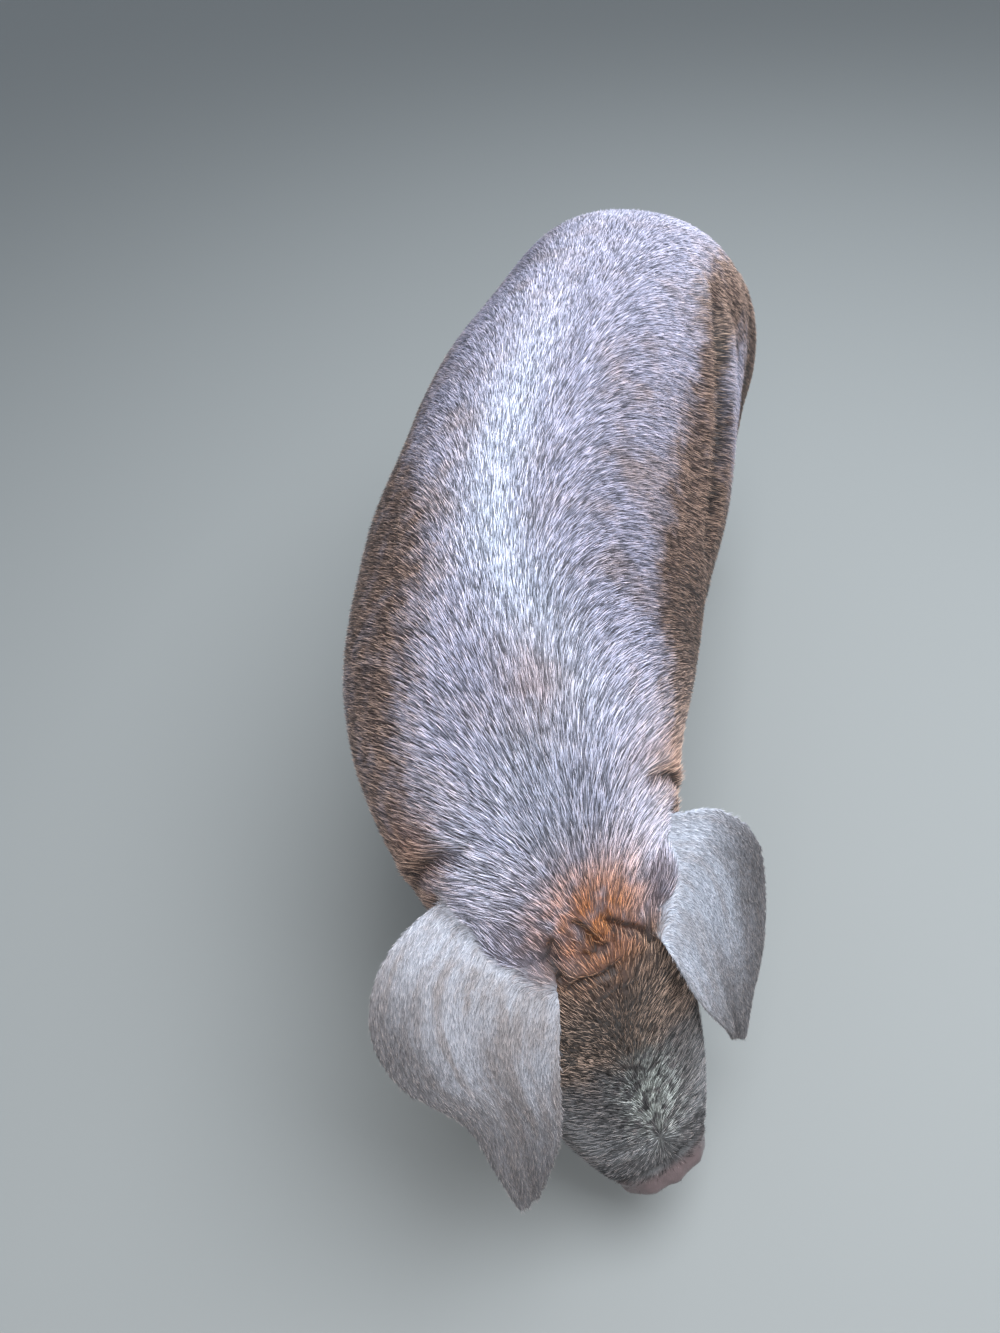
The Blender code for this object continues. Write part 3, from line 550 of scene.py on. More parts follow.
@dataclass
class Ear:
    """A lop ear: a cupped leaf of skin between its outer and inner edges, in the head's axes."""

    side: Side
    edges: Table
    thickness: float = 0.0062
    cup: float = 0.30
    wave: float = 0.006
    rows: int = 64
    columns: int = 30

    def sheet(self) -> tuple[Array, Array, Array]:
        """The middle of the leaf.

        Returns:
            Points by row and column, the way the leaf faces, and the way it runs to the tip.
        """
        table = smooth_rows(self.edges, self.rows)
        outer, inner = table[:, :3], table[:, 3:]
        middle = (outer + inner) / 2
        share = np.linspace(0, 1, self.rows)[:, None]
        ahead = unit(np.gradient(middle, axis=0))
        across = (outer - inner) / 2
        facing = unit(np.cross(across, ahead))
        t = np.linspace(-1, 1, self.columns)[None, :]
        width = np.linalg.norm(across, axis=1)[:, None]
        lift = self.cup * (1.0 - 0.6 * share) * (1 - t * t) * width
        lift = lift + self.wave * np.sin(3.6 * share + 2.2 * t) * share
        lift = lift + 0.0022 * np.sin(9.0 * t + 5.0 * share) * ramp(share, 0.05, 0.5) * (1 - t * t)
        points = middle[:, None] + across[:, None] * t[..., None] + facing[:, None] * lift[..., None]
        return points, facing, ahead

    def mass(self, axes: HeadAxes) -> Mass:
        """The ear as a thin closed leaf on the straight body.

        Args:
            axes: The head's axes.

        Returns:
            The closed form.
        """
        points, facing, _ = self.sheet()
        t = np.linspace(-1, 1, self.columns)
        rings = []
        for row in range(self.rows):
            share = row / (self.rows - 1)
            half = self.thickness / 2 * (1.2 - 0.45 * share) * (0.45 + 0.55 * np.sqrt(1 - t * t))
            upper = points[row] + facing[row] * half[:, None]
            lower = points[row] - facing[row] * half[:, None]
            rings.append(axes.place(np.vstack([upper, lower[::-1]]) * self.side.mirror))
        return Mass.through(rings, blade=True)


@dataclass
class Head:
    """Skull, cheeks, lips, lids and ears, in the head's own axes."""

    axes: HeadAxes = field(default_factory=HeadAxes)
    length: float = 0.412
    half_width: float = 0.131
    snout_half_width: float = 0.062
    snout_half_height: float = 0.043
    nostril_spread: float = 0.024
    nostril_level: float = 0.002
    nostril_radii: tuple[float, float] = (0.0104, 0.0108)
    nostril_depth: float = 0.017
    nostril_rim: float = 0.0018
    mouth_corner: float = 0.222
    mouth_level: float = -0.045
    eye_place: Place = (0.158, 0.0975, 0.042)
    eye_radius: float = 0.0135
    coat_depth: float = 0.0016
    ears: dict[Side, Ear] = field(init=False)

    def __post_init__(self) -> None:
        """Sets both ears: the outer edge (along, side, up), then the inner edge, from root to tip."""
        right = (
            (-0.045, 0.085, 0.010, 0.030, 0.040, 0.045),
            (-0.060, 0.160, 0.065, 0.050, 0.060, 0.095),
            (-0.045, 0.220, 0.090, 0.080, 0.075, 0.110),
            (0.010, 0.255, 0.085, 0.125, 0.095, 0.115),
            (0.085, 0.250, 0.070, 0.175, 0.110, 0.110),
            (0.165, 0.205, 0.060, 0.225, 0.125, 0.095),
            (0.245, 0.195, 0.055, 0.275, 0.150, 0.075),
            (0.300, 0.190, 0.050, 0.310, 0.165, 0.055),
        )
        left = (
            (-0.045, 0.080, 0.010, 0.030, 0.040, 0.045),
            (-0.050, 0.135, 0.055, 0.065, 0.060, 0.090),
            (-0.035, 0.185, 0.070, 0.085, 0.065, 0.105),
            (0.025, 0.225, 0.060, 0.115, 0.070, 0.105),
            (0.110, 0.230, 0.040, 0.155, 0.080, 0.095),
            (0.200, 0.210, 0.025, 0.210, 0.100, 0.075),
            (0.270, 0.180, 0.010, 0.275, 0.130, 0.040),
            (0.320, 0.160, 0.000, 0.315, 0.145, 0.010),
        )
        self.ears = {Side.RIGHT: Ear(Side.RIGHT, right), Side.LEFT: Ear(Side.LEFT, left)}

    def skull(self) -> Mass:
        """The wedge of the head, dished along the nose, widest at the jowls.

        Returns:
            The closed form.
        """
        long, wide, d = self.length, self.half_width, self.coat_depth
        end_width, end_height = self.snout_half_width, self.snout_half_height
        stations = [
            (-0.045, 0.000, 0.070, 0.055, 0.080, 2.0),
            (0.000, 0.000, wide - 0.010, 0.088, 0.120, 2.1),
            (0.060, 0.000, wide, 0.098, 0.130, 2.2),
            (0.120, 0.000, wide - 0.004, 0.090, 0.122, 2.3),
            (0.175, -0.003, 0.121, 0.069, 0.100, 2.3),
            (0.235, -0.008, 0.117, 0.056, 0.080, 2.3),
            (0.300, -0.010, 0.106, 0.049, 0.064, 2.4),
            (0.362, -0.007, 0.085, 0.045, 0.052, 2.4),
            (long - 0.014, -0.002, end_width + 0.002, end_height + 0.002, 0.043, 2.3),
            (long, 0.000, end_width, end_height, end_height, 2.3),
        ]
        rings = []
        for along, middle, half_width, up, down, power in smooth_rows(stations, 90):
            side, rise = outline(half_width - d, up - d, down - d, power, 72)
            rings.append(self.axes.place(np.stack([along + 0 * side, side, middle + rise], 1)))
        return Mass.through(rings)

    def mouth_height(self, along: Array) -> Array:
        """How high the line of the mouth runs, rising to its corner."""
        rise = np.maximum(0.0, (0.295 - along) / (0.295 - self.mouth_corner))
        return self.mouth_level + 0.016 * rise**2

    def mouth_line(self, side: Side, count: int = 26) -> Array:
        """The line of the mouth on one side, from its corner to the front, in the head's axes.

        Args:
            side: The side of the face.
            count: How many points.

        Returns:
            Points in the head's axes.
        """
        along = np.linspace(self.mouth_corner, 0.378, count)
        places = (self.mouth_corner, 0.25, 0.31, 0.365, 0.392)
        out = np.interp(along, places, (0.112, 0.106, 0.0915, 0.0665, 0.046))
        return np.stack([along, side.value * out, self.mouth_height(along)], 1)

    def lid_path(self, side: Side, count: int = 40) -> Array:
        """The rim of both lids round an eye, an almond that leans with the face.

        Args:
            side: The side of the face.
            count: How many points.

        Returns:
            Points in the head's axes.
        """
        angle = np.arange(count) * math.tau / count
        r = self.eye_radius
        reach = r * (0.42 - 0.22 * np.abs(np.cos(angle)))
        rim = np.stack([np.cos(angle) * r * 1.22, reach, np.sin(angle) * r * 0.86], 1)
        return (rim + np.array(self.eye_place)) * side.mirror

    def lids(self, side: Side) -> Mass:
        """Both eyelids as one soft ring round the eye.

        Args:
            side: The side of the face.

        Returns:
            The closed form.
        """
        path = self.lid_path(side)
        path = np.vstack([path, path[:3]])
        return Mass.tube(self.axes.place(path), [0.0046] * len(path), 14)

    def masses(self) -> list[Mass]:
        """Every form of the head, on the straight body.

        Returns:
            Closed forms that overlap.
        """
        pitch, d, at = math.degrees(self.axes.pitch), self.coat_depth, self.axes.place
        made = [self.skull()]
        chin = (0.046 - d, 0.042 - d, 0.018)
        made.append(Mass.ellipsoid(at((0.325, 0, -0.060))[0], chin, (0, pitch + 6, 0)))
        for side in Side:
            s = side.value
            jowl, cheek = (0.112 - d, 0.053 - d, 0.074 - d), (0.095 - d, 0.034 - d, 0.045 - d)
            brow, mound = (0.050, 0.023 - d, 0.016), (0.056, 0.036 - d, 0.034 - d)
            made += [
                Mass.ellipsoid(at((0.070, s * 0.084, -0.062))[0], jowl, (0, pitch, s * 6)),
                Mass.ellipsoid(at((0.150, s * 0.090, -0.010))[0], cheek, (0, pitch + 8, 0)),
                Mass.ellipsoid(at((0.136, s * 0.074, 0.058))[0], brow, (0, pitch + 12, 0)),
                Mass.ellipsoid(at((0.012, s * 0.088, 0.052))[0], mound, (0, pitch, 0)),
                self.lids(side),
                self.ears[side].mass(self.axes),
            ]
            line = self.mouth_line(side) - np.array([0.0, s * 0.003, 0.0])
            for offset, radius in ((0.0065, 0.0062), (-0.0065, 0.0055)):
                lip = line + np.array([0.0, 0.0, offset])
                made.append(Mass.tube(at(lip), [radius] * len(lip), 12))
        return made


# The skin as one surface


@dataclass
class Surface:
    """A mesh as arrays: its points, and faces with equal numbers of corners."""

    points: Array
    faces: Array

    @classmethod
    def of(cls, mesh: Mesh) -> "Surface":
        """The surface of a mesh whose faces all have as many corners as its first.

        Args:
            mesh: The mesh to read.

        Returns:
            Its points and faces.
        """
        points = np.empty(len(mesh.vertices) * 3, np.float32)
        mesh.vertices.foreach_get("co", points)
        corners = np.empty(len(mesh.loops), np.int32)
        mesh.loops.foreach_get("vertex_index", corners)
        return cls(points.reshape(-1, 3).astype(float), corners.reshape(len(mesh.polygons), -1))

    def edges(self) -> Array:
        """Pairs of joined points, each way.

        Returns:
            Rows of two indices.
        """
        sides = range(self.faces.shape[1])
        pairs = np.concatenate([np.stack([self.faces[:, k - 1], self.faces[:, k]], 1) for k in sides])
        return np.unique(np.vstack([pairs, pairs[:, ::-1]]), axis=0)

    def spread(self, values: Array, weights: Array, rounds: int) -> Array:
        """Values with each point drawn towards the mean of its neighbours.

        Args:
            values: One row a point.
            weights: How far each point is drawn in a round, from 0 to 1.
            rounds: How many rounds.

        Returns:
            The softened values.
        """
        first, second = self.edges().T
        count = np.maximum(np.bincount(first, minlength=len(values)), 1)
        made = values.copy()
        for _ in range(rounds):
            for column in range(made.shape[1]):
                total = np.bincount(first, weights=made[second, column], minlength=len(values))
                made[:, column] += weights * (total / count - made[:, column])
        return made

    def normals(self) -> Array:
        """The way out at each point.

        Returns:
            Unit vectors, one a point.
        """
        p = self.points[self.faces]
        if self.faces.shape[1] == 4:
            cross = np.cross(p[:, 2] - p[:, 0], p[:, -1] - p[:, 1])
        else:
            cross = np.cross(p[:, 1] - p[:, 0], p[:, 2] - p[:, 0])
        made = np.zeros_like(self.points)
        for corner in self.faces.T:
            for axis in range(3):
                made[:, axis] += np.bincount(corner, weights=cross[:, axis], minlength=len(made))
        return unit(made)


def distance_to_path(points: Array, path: Array) -> tuple[Array, Array]:
    """How far points are from a path, and how far along it they are nearest.

    Args:
        points: Places, one a row.
        path: The path's points, one a row.

    Returns:
        Distances, and shares from 0 at the start to 1 at the end.
    """
    best = np.full(len(points), np.inf)
    share = np.zeros(len(points))
    spans = len(path) - 1
    for k in range(spans):
        step = path[k + 1] - path[k]
        t = np.clip((points - path[k]) @ step / max(step @ step, 1e-12), 0, 1)
        gap = np.linalg.norm(points - path[k] - t[:, None] * step, axis=1)
        nearer = gap < best
        best[nearer] = gap[nearer]
        share[nearer] = (k + t[nearer]) / spans
    return best, share


@dataclass(frozen=True)
class Fold:
    """A crease in the skin with a soft swelling on each side."""

    path: tuple[Place, ...]
    width: float
    depth: float
    one_side: bool = False
    swell: float = 0.4
    on_head: bool = True

    def paths(self) -> list[Array]:
        """The crease on each side that has it, smoothed."""
        line = smooth_rows(self.path, 4 * len(self.path))
        return [line] if self.one_side else [line * side.mirror for side in Side]


@dataclass(frozen=True)
class BodyFold(Fold):
    """A crease on the straight body, off the head."""

    on_head: bool = False


@dataclass(frozen=True)
class Lump:
    """A soft rise or hollow in the skin."""

    centre: Place
    radius: float
    height: float
    both_sides: bool = True
    on_head: bool = True


FOLDS = (
    # Wrinkles that the lowered head pushes up on the brow, from one ear to the other
    Fold(((0.005, -0.047, 0.099), (0.035, -0.056, 0.089), (0.066, -0.052, 0.091)), 0.0050, 0.0060, True),
    Fold(((-0.010, -0.028, 0.105), (0.028, -0.008, 0.101), (0.050, -0.004, 0.098)), 0.0045, 0.0055, True),
    Fold(
        ((0.004, 0.004, 0.105), (0.030, 0.022, 0.101), (0.052, 0.046, 0.093), (0.085, 0.060, 0.088)),
        0.0050, 0.0065, one_side=True,
    ),
    Fold(
        ((0.074, -0.060, 0.090), (0.068, -0.034, 0.094), (0.074, -0.010, 0.097), (0.067, 0.020, 0.096)),
        0.0045, 0.0048, one_side=True,
    ),
    Fold(((0.040, -0.030, 0.098), (0.046, -0.010, 0.099), (0.042, 0.010, 0.099)), 0.0040, 0.0030, True),
    Fold(((0.108, -0.034, 0.085), (0.102, 0.000, 0.090), (0.108, 0.032, 0.085)), 0.0055, 0.0022, True),
    # Round the eyes: over the upper lid, and two bags below
    Fold(
        ((0.120, 0.096, 0.064), (0.140, 0.092, 0.070), (0.164, 0.090, 0.066), (0.186, 0.090, 0.054)),
        0.0045, 0.0050,
    ),
    Fold(((0.136, 0.110, 0.024), (0.158, 0.109, 0.018), (0.182, 0.104, 0.024)), 0.0040, 0.0036),
    Fold(((0.128, 0.118, 0.012), (0.158, 0.116, 0.002), (0.190, 0.107, 0.008)), 0.0050, 0.0024),
    # Cheek behind the corner of the mouth, and the jowl
    Fold(((0.222, 0.098, -0.028), (0.206, 0.106, -0.050), (0.186, 0.108, -0.082)), 0.0060, 0.0050),
    Fold(((0.070, 0.131, 0.010), (0.085, 0.134, -0.030), (0.092, 0.126, -0.080)), 0.0090, 0.0040),
    # Behind the disc of the snout, and short wrinkles on the muzzle
    Fold(
        ((0.381, 0.058, -0.014), (0.379, 0.054, 0.014), (0.379, 0.030, 0.036), (0.379, 0.000, 0.041)),
        0.0038, 0.0036,
    ),
    Fold(((0.358, 0.060, 0.004), (0.354, 0.044, 0.026), (0.357, 0.018, 0.038)), 0.0038, 0.0018),
    Fold(((0.334, 0.066, 0.000), (0.329, 0.050, 0.024), (0.333, 0.022, 0.038)), 0.0042, 0.0014),
    # Throat, neck behind the ears, flank before the thigh, elbow and the cleft between the hams
    BodyFold(((0.640, 0.000, 0.300), (0.650, 0.070, 0.325), (0.640, 0.120, 0.385)), 0.0120, 0.0060),
    BodyFold(((0.585, 0.000, 0.285), (0.590, 0.090, 0.310), (0.580, 0.150, 0.390)), 0.0140, 0.0055),
    BodyFold(
        ((0.690, 0.090, 0.585), (0.668, 0.122, 0.570), (0.650, 0.152, 0.520), (0.640, 0.165, 0.450)),
        0.0100, 0.0040,
    ),
    BodyFold(
        ((-0.250, 0.120, 0.330), (-0.262, 0.175, 0.365), (-0.285, 0.205, 0.430), (-0.300, 0.212, 0.520)),
        0.0200, 0.0100,
    ),
    BodyFold(
        ((0.190, 0.120, 0.345), (0.190, 0.180, 0.385), (0.205, 0.212, 0.450), (0.230, 0.216, 0.520)),
        0.0180, 0.0075,
    ),
    BodyFold(
        ((-0.604, 0.000, 0.620), (-0.606, 0.000, 0.540), (-0.585, 0.000, 0.450), (-0.540, 0.000, 0.370)),
        0.0160, 0.0140, one_side=True,
    ),
    # The edge along which the back's left side drops to the flank and the thigh
    BodyFold(
        ((-0.250, 0.158, 0.742), (-0.075, 0.188, 0.726), (0.108, 0.214, 0.660), (0.285, 0.218, 0.605)),
        0.0190, 0.0160, one_side=True, swell=0.7,
    ),
    # Creases over the knees and the hocks
    BodyFold(((0.330, 0.110, 0.226), (0.338, 0.140, 0.222), (0.330, 0.170, 0.226)), 0.0050, 0.0018),
    BodyFold(((-0.452, 0.112, 0.268), (-0.440, 0.140, 0.262), (-0.452, 0.168, 0.268)), 0.0060, 0.0020),
)

LUMPS = (
    # Brow ridges, cheekbone, the rim of the snout's disc and its middle
    Lump((0.110, 0.062, 0.080), 0.022, 0.0030),
    Lump((0.145, 0.110, 0.008), 0.024, 0.0025),
    Lump((0.407, 0.000, 0.043), 0.011, 0.0030, both_sides=False),
    Lump((0.407, 0.034, 0.037), 0.011, 0.0026),
    Lump((0.407, 0.056, 0.008), 0.011, 0.0022),
    Lump((0.413, 0.000, 0.002), 0.008, -0.0016, both_sides=False),
    # Pads of skin between the wrinkles of the brow
    Lump((0.030, -0.036, 0.100), 0.010, 0.0030, both_sides=False),
    Lump((0.060, -0.026, 0.096), 0.011, 0.0028, both_sides=False),
    Lump((0.056, 0.020, 0.097), 0.013, 0.0032, both_sides=False),
    # Shoulder blade, hip and the hollow before it
    Lump((0.280, 0.190, 0.640), 0.060, 0.0050, on_head=False),
    Lump((-0.330, 0.170, 0.680), 0.055, 0.0055, on_head=False),
    Lump((-0.225, 0.200, 0.640), 0.070, -0.0060, on_head=False),
    Lump((0.020, 0.232, 0.560), 0.110, 0.0030, on_head=False),
)


@dataclass
class Skin:
    """The pig's hide: fused from its forms, softened, creased, thinned and mapped."""

    trunk: Trunk
    head: Head
    tail: Tail
    spine: Spine
    voxel: float = 0.0028
    quick_voxel: float = 0.0045
    body_softness: float = 0.021
    head_softness: float = 0.0088
    leg_softness: float = 0.014
    eye_softness: float = 0.0040
    ear_softness: float = 0.0026
    ear_reach: float = 0.008
    triangles: int = 190000
    nape_place: Place = (0.655, 0.0, 0.440)
    nape_pitch: float = 0.82
    teats: tuple[float, ...] = (0.12, 0.02, -0.08, -0.17, -0.25, -0.32)
    teat_spread: float = 0.060
    teat_height: float = 0.0075
    fold_fade: float = 0.22
    fold_margin: float = 0.03
    unevenness: float = 0.0012
    fine_unevenness: float = 0.0003
    surface: Surface = field(init=False)
    straight: Array = field(init=False)
    local: Array = field(init=False)
    headness: Array = field(init=False)
    earness: dict[Side, Array] = field(init=False)
    ear_lie: Array = field(init=False)
    ear_place: Array = field(init=False)

    def grain(self) -> float:
        """The size of the grid on which the forms are fused."""
        return self.voxel

    def fused(self) -> Surface:
        """One closed surface round every form, in the pose.

        Returns:
            The surface, all of four-cornered faces.
        """
        trunk = self.trunk
        masses = [trunk.barrel(), self.tail.mass(), *trunk.muscles(), *self.head.masses()]
        points, faces, start = [], [], 0
        for mass in masses:
            points.append(self.spine.bend(mass.points))
            faces += [tuple(corner + start for corner in face) for face in mass.faces]
            start += len(mass.points)
        mesh = bpy.data.meshes.new("forms")
        mesh.from_pydata(np.vstack(points).tolist(), [], faces)
        obj = added("forms", mesh)
        remesh = obj.modifiers.new("Fuse", "REMESH")
        remesh.mode = "VOXEL"
        remesh.voxel_size = self.grain()
        surface = Surface.of(evaluated(obj))
        bpy.data.objects.remove(obj)
        return surface

    def locate(self) -> None:
        """Works out where each point lies on the straight body and the head, and which points are ear."""
        surface = self.surface
        self.straight = self.spine.straighten(surface.points)
        self.local = self.head.axes.local(self.straight)
        nape = self.straight - np.array(self.nape_place)
        level, drop = math.cos(self.nape_pitch), math.sin(self.nape_pitch)
        self.headness = ramp(nape @ np.array([level, 0, -drop]), -0.030, 0.030)
        self.earness = {}
        self.ear_lie = np.zeros_like(surface.points)
        self.ear_place = np.zeros((len(surface.points), 2))
        for side, ear in self.head.ears.items():
            points, _, lie = ear.sheet()
            flat = self.head.axes.place(points.reshape(-1, 3) * side.mirror)
            tree = KDTree(len(flat))
            for k, place in enumerate(flat):
                tree.insert(place, k)
            tree.balance()
            a, b, c = self.local.T
            near = (a > -0.10) & (b * side.value > 0.02) & (c > -0.05)
            amount = np.zeros(len(self.straight))
            directions = self.head.axes.place(lie * side.mirror) - np.array(self.head.axes.base)
            for k in np.flatnonzero(near):
                _, index, gap = tree.find(self.straight[k])
                row, column = divmod(index, ear.columns)
                rooted = min(1.0, max(0.0, (row - 3) / 6))
                amount[k] = rooted if gap < self.ear_reach else 0.0
                self.ear_lie[k] += directions[row] * amount[k]
                if amount[k]:
                    self.ear_place[k] = row / (ear.rows - 1), column / (ear.columns - 1)
            self.earness[side] = amount

    def soften(self) -> None:
        """Melts the seams between the forms, most on the body and least on the ears."""
        ears = np.maximum(*self.earness.values())
        fine = ramp(0.030 - np.linalg.norm(self.local - self.eye_side(), axis=1), -0.006, 0.010)
        reach = self.body_softness + (self.head_softness - self.body_softness) * self.headness
        lower = ramp(-self.straight[:, 2], -0.30, -0.16) * (1 - self.headness)
        reach = reach + (self.leg_softness - reach) * lower
        reach = reach + (self.eye_softness - reach) * fine * self.headness
        reach = reach + (self.ear_softness - reach) * ears
        rounds = int(math.ceil((self.body_softness / self.grain()) ** 2))
        weights = 0.5 * np.minimum(1.0, (reach / self.body_softness) ** 2)
        self.surface.points = self.surface.spread(self.surface.points, weights, rounds)

    def eye_side(self) -> Array:
        """The eye's place on the side of each point.

        Returns:
            A place in the head's axes, one a point.
        """
        along, out, up = self.head.eye_place
        side = np.where(self.local[:, 1] > 0, out, -out)
        return np.stack([np.full(len(side), along), side, np.full(len(side), up)], 1)

    def work(self) -> None:
        """Presses in the folds, lips and nostrils, and raises lumps and teats."""
        surface = self.surface
        shift = np.zeros(len(surface.points))
        soft = 1 - np.maximum(*self.earness.values())
        for fold in FOLDS:
            places = self.local if fold.on_head else self.straight
            for path in fold.paths():
                shift += soft * self.pressed(places, path, fold.width, fold.depth, fold.swell)
        for side in Side:
            line = self.head.mouth_line(side)
            front = np.array([[0.392, side.value * 0.028, -0.045], [0.398, 0.0, -0.046]])
            shift += self.pressed(self.local, np.vstack([line, front]), 0.0026, 0.0052, 0.25)
        for lump in LUMPS:
            places = self.local if lump.on_head else self.straight
            for side in Side if lump.both_sides else (Side.LEFT,):
                gap = np.linalg.norm(places - np.array(lump.centre) * side.mirror, axis=1)
                shift += soft * lump.height * hump(gap, 0.0, lump.radius)
        shift += self.teat_shift() + self.undulation() * soft
        surface.points = surface.points + surface.normals() * shift[:, None]
        self.open_nostrils()

    def pressed(self, places: Array, path: Array, width: float, depth: float, swell: float) -> Array:
        """How far a crease moves each point along its normal.

        Args:
            places: The points, in the crease's own axes.
            path: The line of the crease.
            width: Half its width.
            depth: Its depth.
            swell: Height of the swelling beside it, as a share of the depth.

        Returns:
            Shifts outwards in metres, one a point.
        """
        margin = self.fold_margin + 4 * width
        low, high = path.min(0) - margin, path.max(0) + margin
        near = np.flatnonzero(np.all((places > low) & (places < high), axis=1))
        moved = np.zeros(len(places))
        if len(near):
            nearest = [np.argmin(np.sum((places[near] - point) ** 2, 1)) for point in path]
            path = places[near[nearest]]
            gap, share = distance_to_path(places[near], path)
            fade = ramp(share, 0.0, self.fold_fade) * ramp(1 - share, 0.0, self.fold_fade)
            press = hump(gap, 0.0, width) - swell * hump(gap, 2.0 * width, width)
            moved[near] = -depth * press * fade
        return moved

    def creases(self) -> Array:
        """How near each point is to the floor of a fold or to the mouth, from 0 to 1, for the painted shade
        in the creases.

        Returns:
            One value a point.
        """
        made = np.zeros(len(self.straight))
        for fold in FOLDS:
            places = self.local if fold.on_head else self.straight
            for path in fold.paths():
                made -= self.pressed(places, path, 1.3 * fold.width, min(1.0, fold.depth / 0.006), 0.0)
        for side in Side:
            made -= self.pressed(self.local, self.head.mouth_line(side), 0.0036, 1.0, 0.0)
        return np.clip(made, 0.0, 1.0)

    def teat_shift(self) -> Array:
        """Two rows of teats along the belly.

        Returns:
            Shifts outwards in metres, one a point.
        """
        moved = np.zeros(len(self.straight))
        low = self.straight[:, 2] < 0.40
        for place in self.teats:
            for side in Side:
                out = self.straight[:, 1] - side.value * self.teat_spread
                gap = np.hypot(self.straight[:, 0] - place, out)
                tip = self.teat_height * np.exp(-((gap / 0.0048) ** 4))
                moved += low * (tip + 0.0030 * hump(gap, 0.0, 0.016))
        return moved

    def undulation(self) -> Array:
        """The slight unevenness of flesh under the hide.

        Returns:
            Shifts outwards in metres, one a point.
        """
        x, y, z = self.straight.T
        broad = np.sin(11 * x + 4 * z) * np.sin(13 * y + 7 * z + 1)
        broad = broad + np.sin(17 * x - 9 * y + 2) * np.sin(15 * z + 5 * x)
        fine = np.sin(46 * x + 21 * y) * np.sin(39 * z - 17 * y + 2)
        shift = self.unevenness * broad + self.fine_unevenness * fine
        return shift * (1 - 0.7 * self.headness) * ramp(z, 0.15, 0.35)

    def open_nostrils(self) -> None:
        """Pushes the skin of the snout's disc in where the nostrils are."""
        head = self.head
        local = head.axes.local(self.spine.straighten(self.surface.points))
        front = local[:, 0] > head.length - 0.030
        moved = np.zeros(len(local))
        for side in Side:
            wide, high = head.nostril_radii
            aside = (local[:, 1] - side.value * head.nostril_spread) / wide
            gap = np.hypot(aside, (local[:, 2] - head.nostril_level) / high)
            bowl = head.nostril_depth * np.sqrt(np.clip(1 - gap**2, 0, 1)) ** 0.7
            moved += np.where(front & (gap < 1.0), bowl, 0.0)
            moved -= np.where(front, head.nostril_rim * hump(gap, 1.25, 0.22), 0.0)
        along = np.repeat(head.axes.matrix()[:, :1].T, len(local), 0)
        inward = self.spine.turn_directions(self.straight[:, 0], along)
        self.surface.points = self.surface.points - inward * moved[:, None]

    def thinned(self) -> Mesh:
        """The worked surface with fewer triangles where it is smooth.

        Returns:
            A mesh of triangles.
        """
        mesh = bpy.data.meshes.new("hide")
        mesh.from_pydata(self.surface.points.tolist(), [], self.surface.faces.tolist())
        obj = added("hide", mesh)
        obj.modifiers.new("Triangles", "TRIANGULATE")
        thin = obj.modifiers.new("Thin", "DECIMATE")
        thin.ratio = min(1.0, self.triangles / (2 * len(self.surface.faces)))
        thinned = evaluated(obj)
        bpy.data.objects.remove(obj)
        return thinned

    def build(self) -> Object:
        """Makes the skin's object, which stands for every node of flesh.

        Returns:
            The skin's object.
        """
        self.surface = self.fused()
        log.info("skin: %d points fused", len(self.surface.points))
        self.locate()
        self.soften()
        self.locate()
        self.work()
        mesh = self.thinned()
        mesh.name = "skin"
        obj = added("skin", mesh)
        drawn_smooth(mesh)
        self.surface = Surface.of(mesh)
        self.locate()
        self.unwrap(obj)
        log.info("skin: %d triangles", len(mesh.polygons))
        return obj

    def unwrap(self, obj: Object) -> None:
        """Lays the skin out flat by its own shape, in a map named OFBake.

        Args:
            obj: The skin's object.
        """
        obj.data.uv_layers.new(name="OFBake")
        bpy.ops.object.select_all(action="DESELECT")
        obj.select_set(True)
        bpy.context.view_layer.objects.active = obj
        bpy.ops.object.mode_set(mode="EDIT")
        bpy.ops.mesh.select_all(action="SELECT")
        bpy.ops.uv.smart_project(angle_limit=1.15, island_margin=0.002, scale_to_bounds=True)
        bpy.ops.object.mode_set(mode="OBJECT")


def added(name: str, data: Any) -> Object:
    """A new object of the scene.

    Args:
        name: Its name.
        data: Its mesh, lamp or camera.

    Returns:
        The object.
    """
    obj = bpy.data.objects.new(name, data)
    bpy.context.scene.collection.objects.link(obj)
    return obj


def drawn_smooth(mesh: Mesh) -> None:
    """Shades every face of a mesh smooth."""
    mesh.polygons.foreach_set("use_smooth", np.ones(len(mesh.polygons), bool))


def evaluated(obj: Object) -> Mesh:
    """A plain mesh of an object with its modifiers applied.

    Args:
        obj: An object with modifiers.

    Returns:
        A new mesh.
    """
    bpy.context.view_layer.update()
    graph = bpy.context.evaluated_depsgraph_get()
    return bpy.data.meshes.new_from_object(obj.evaluated_get(graph))


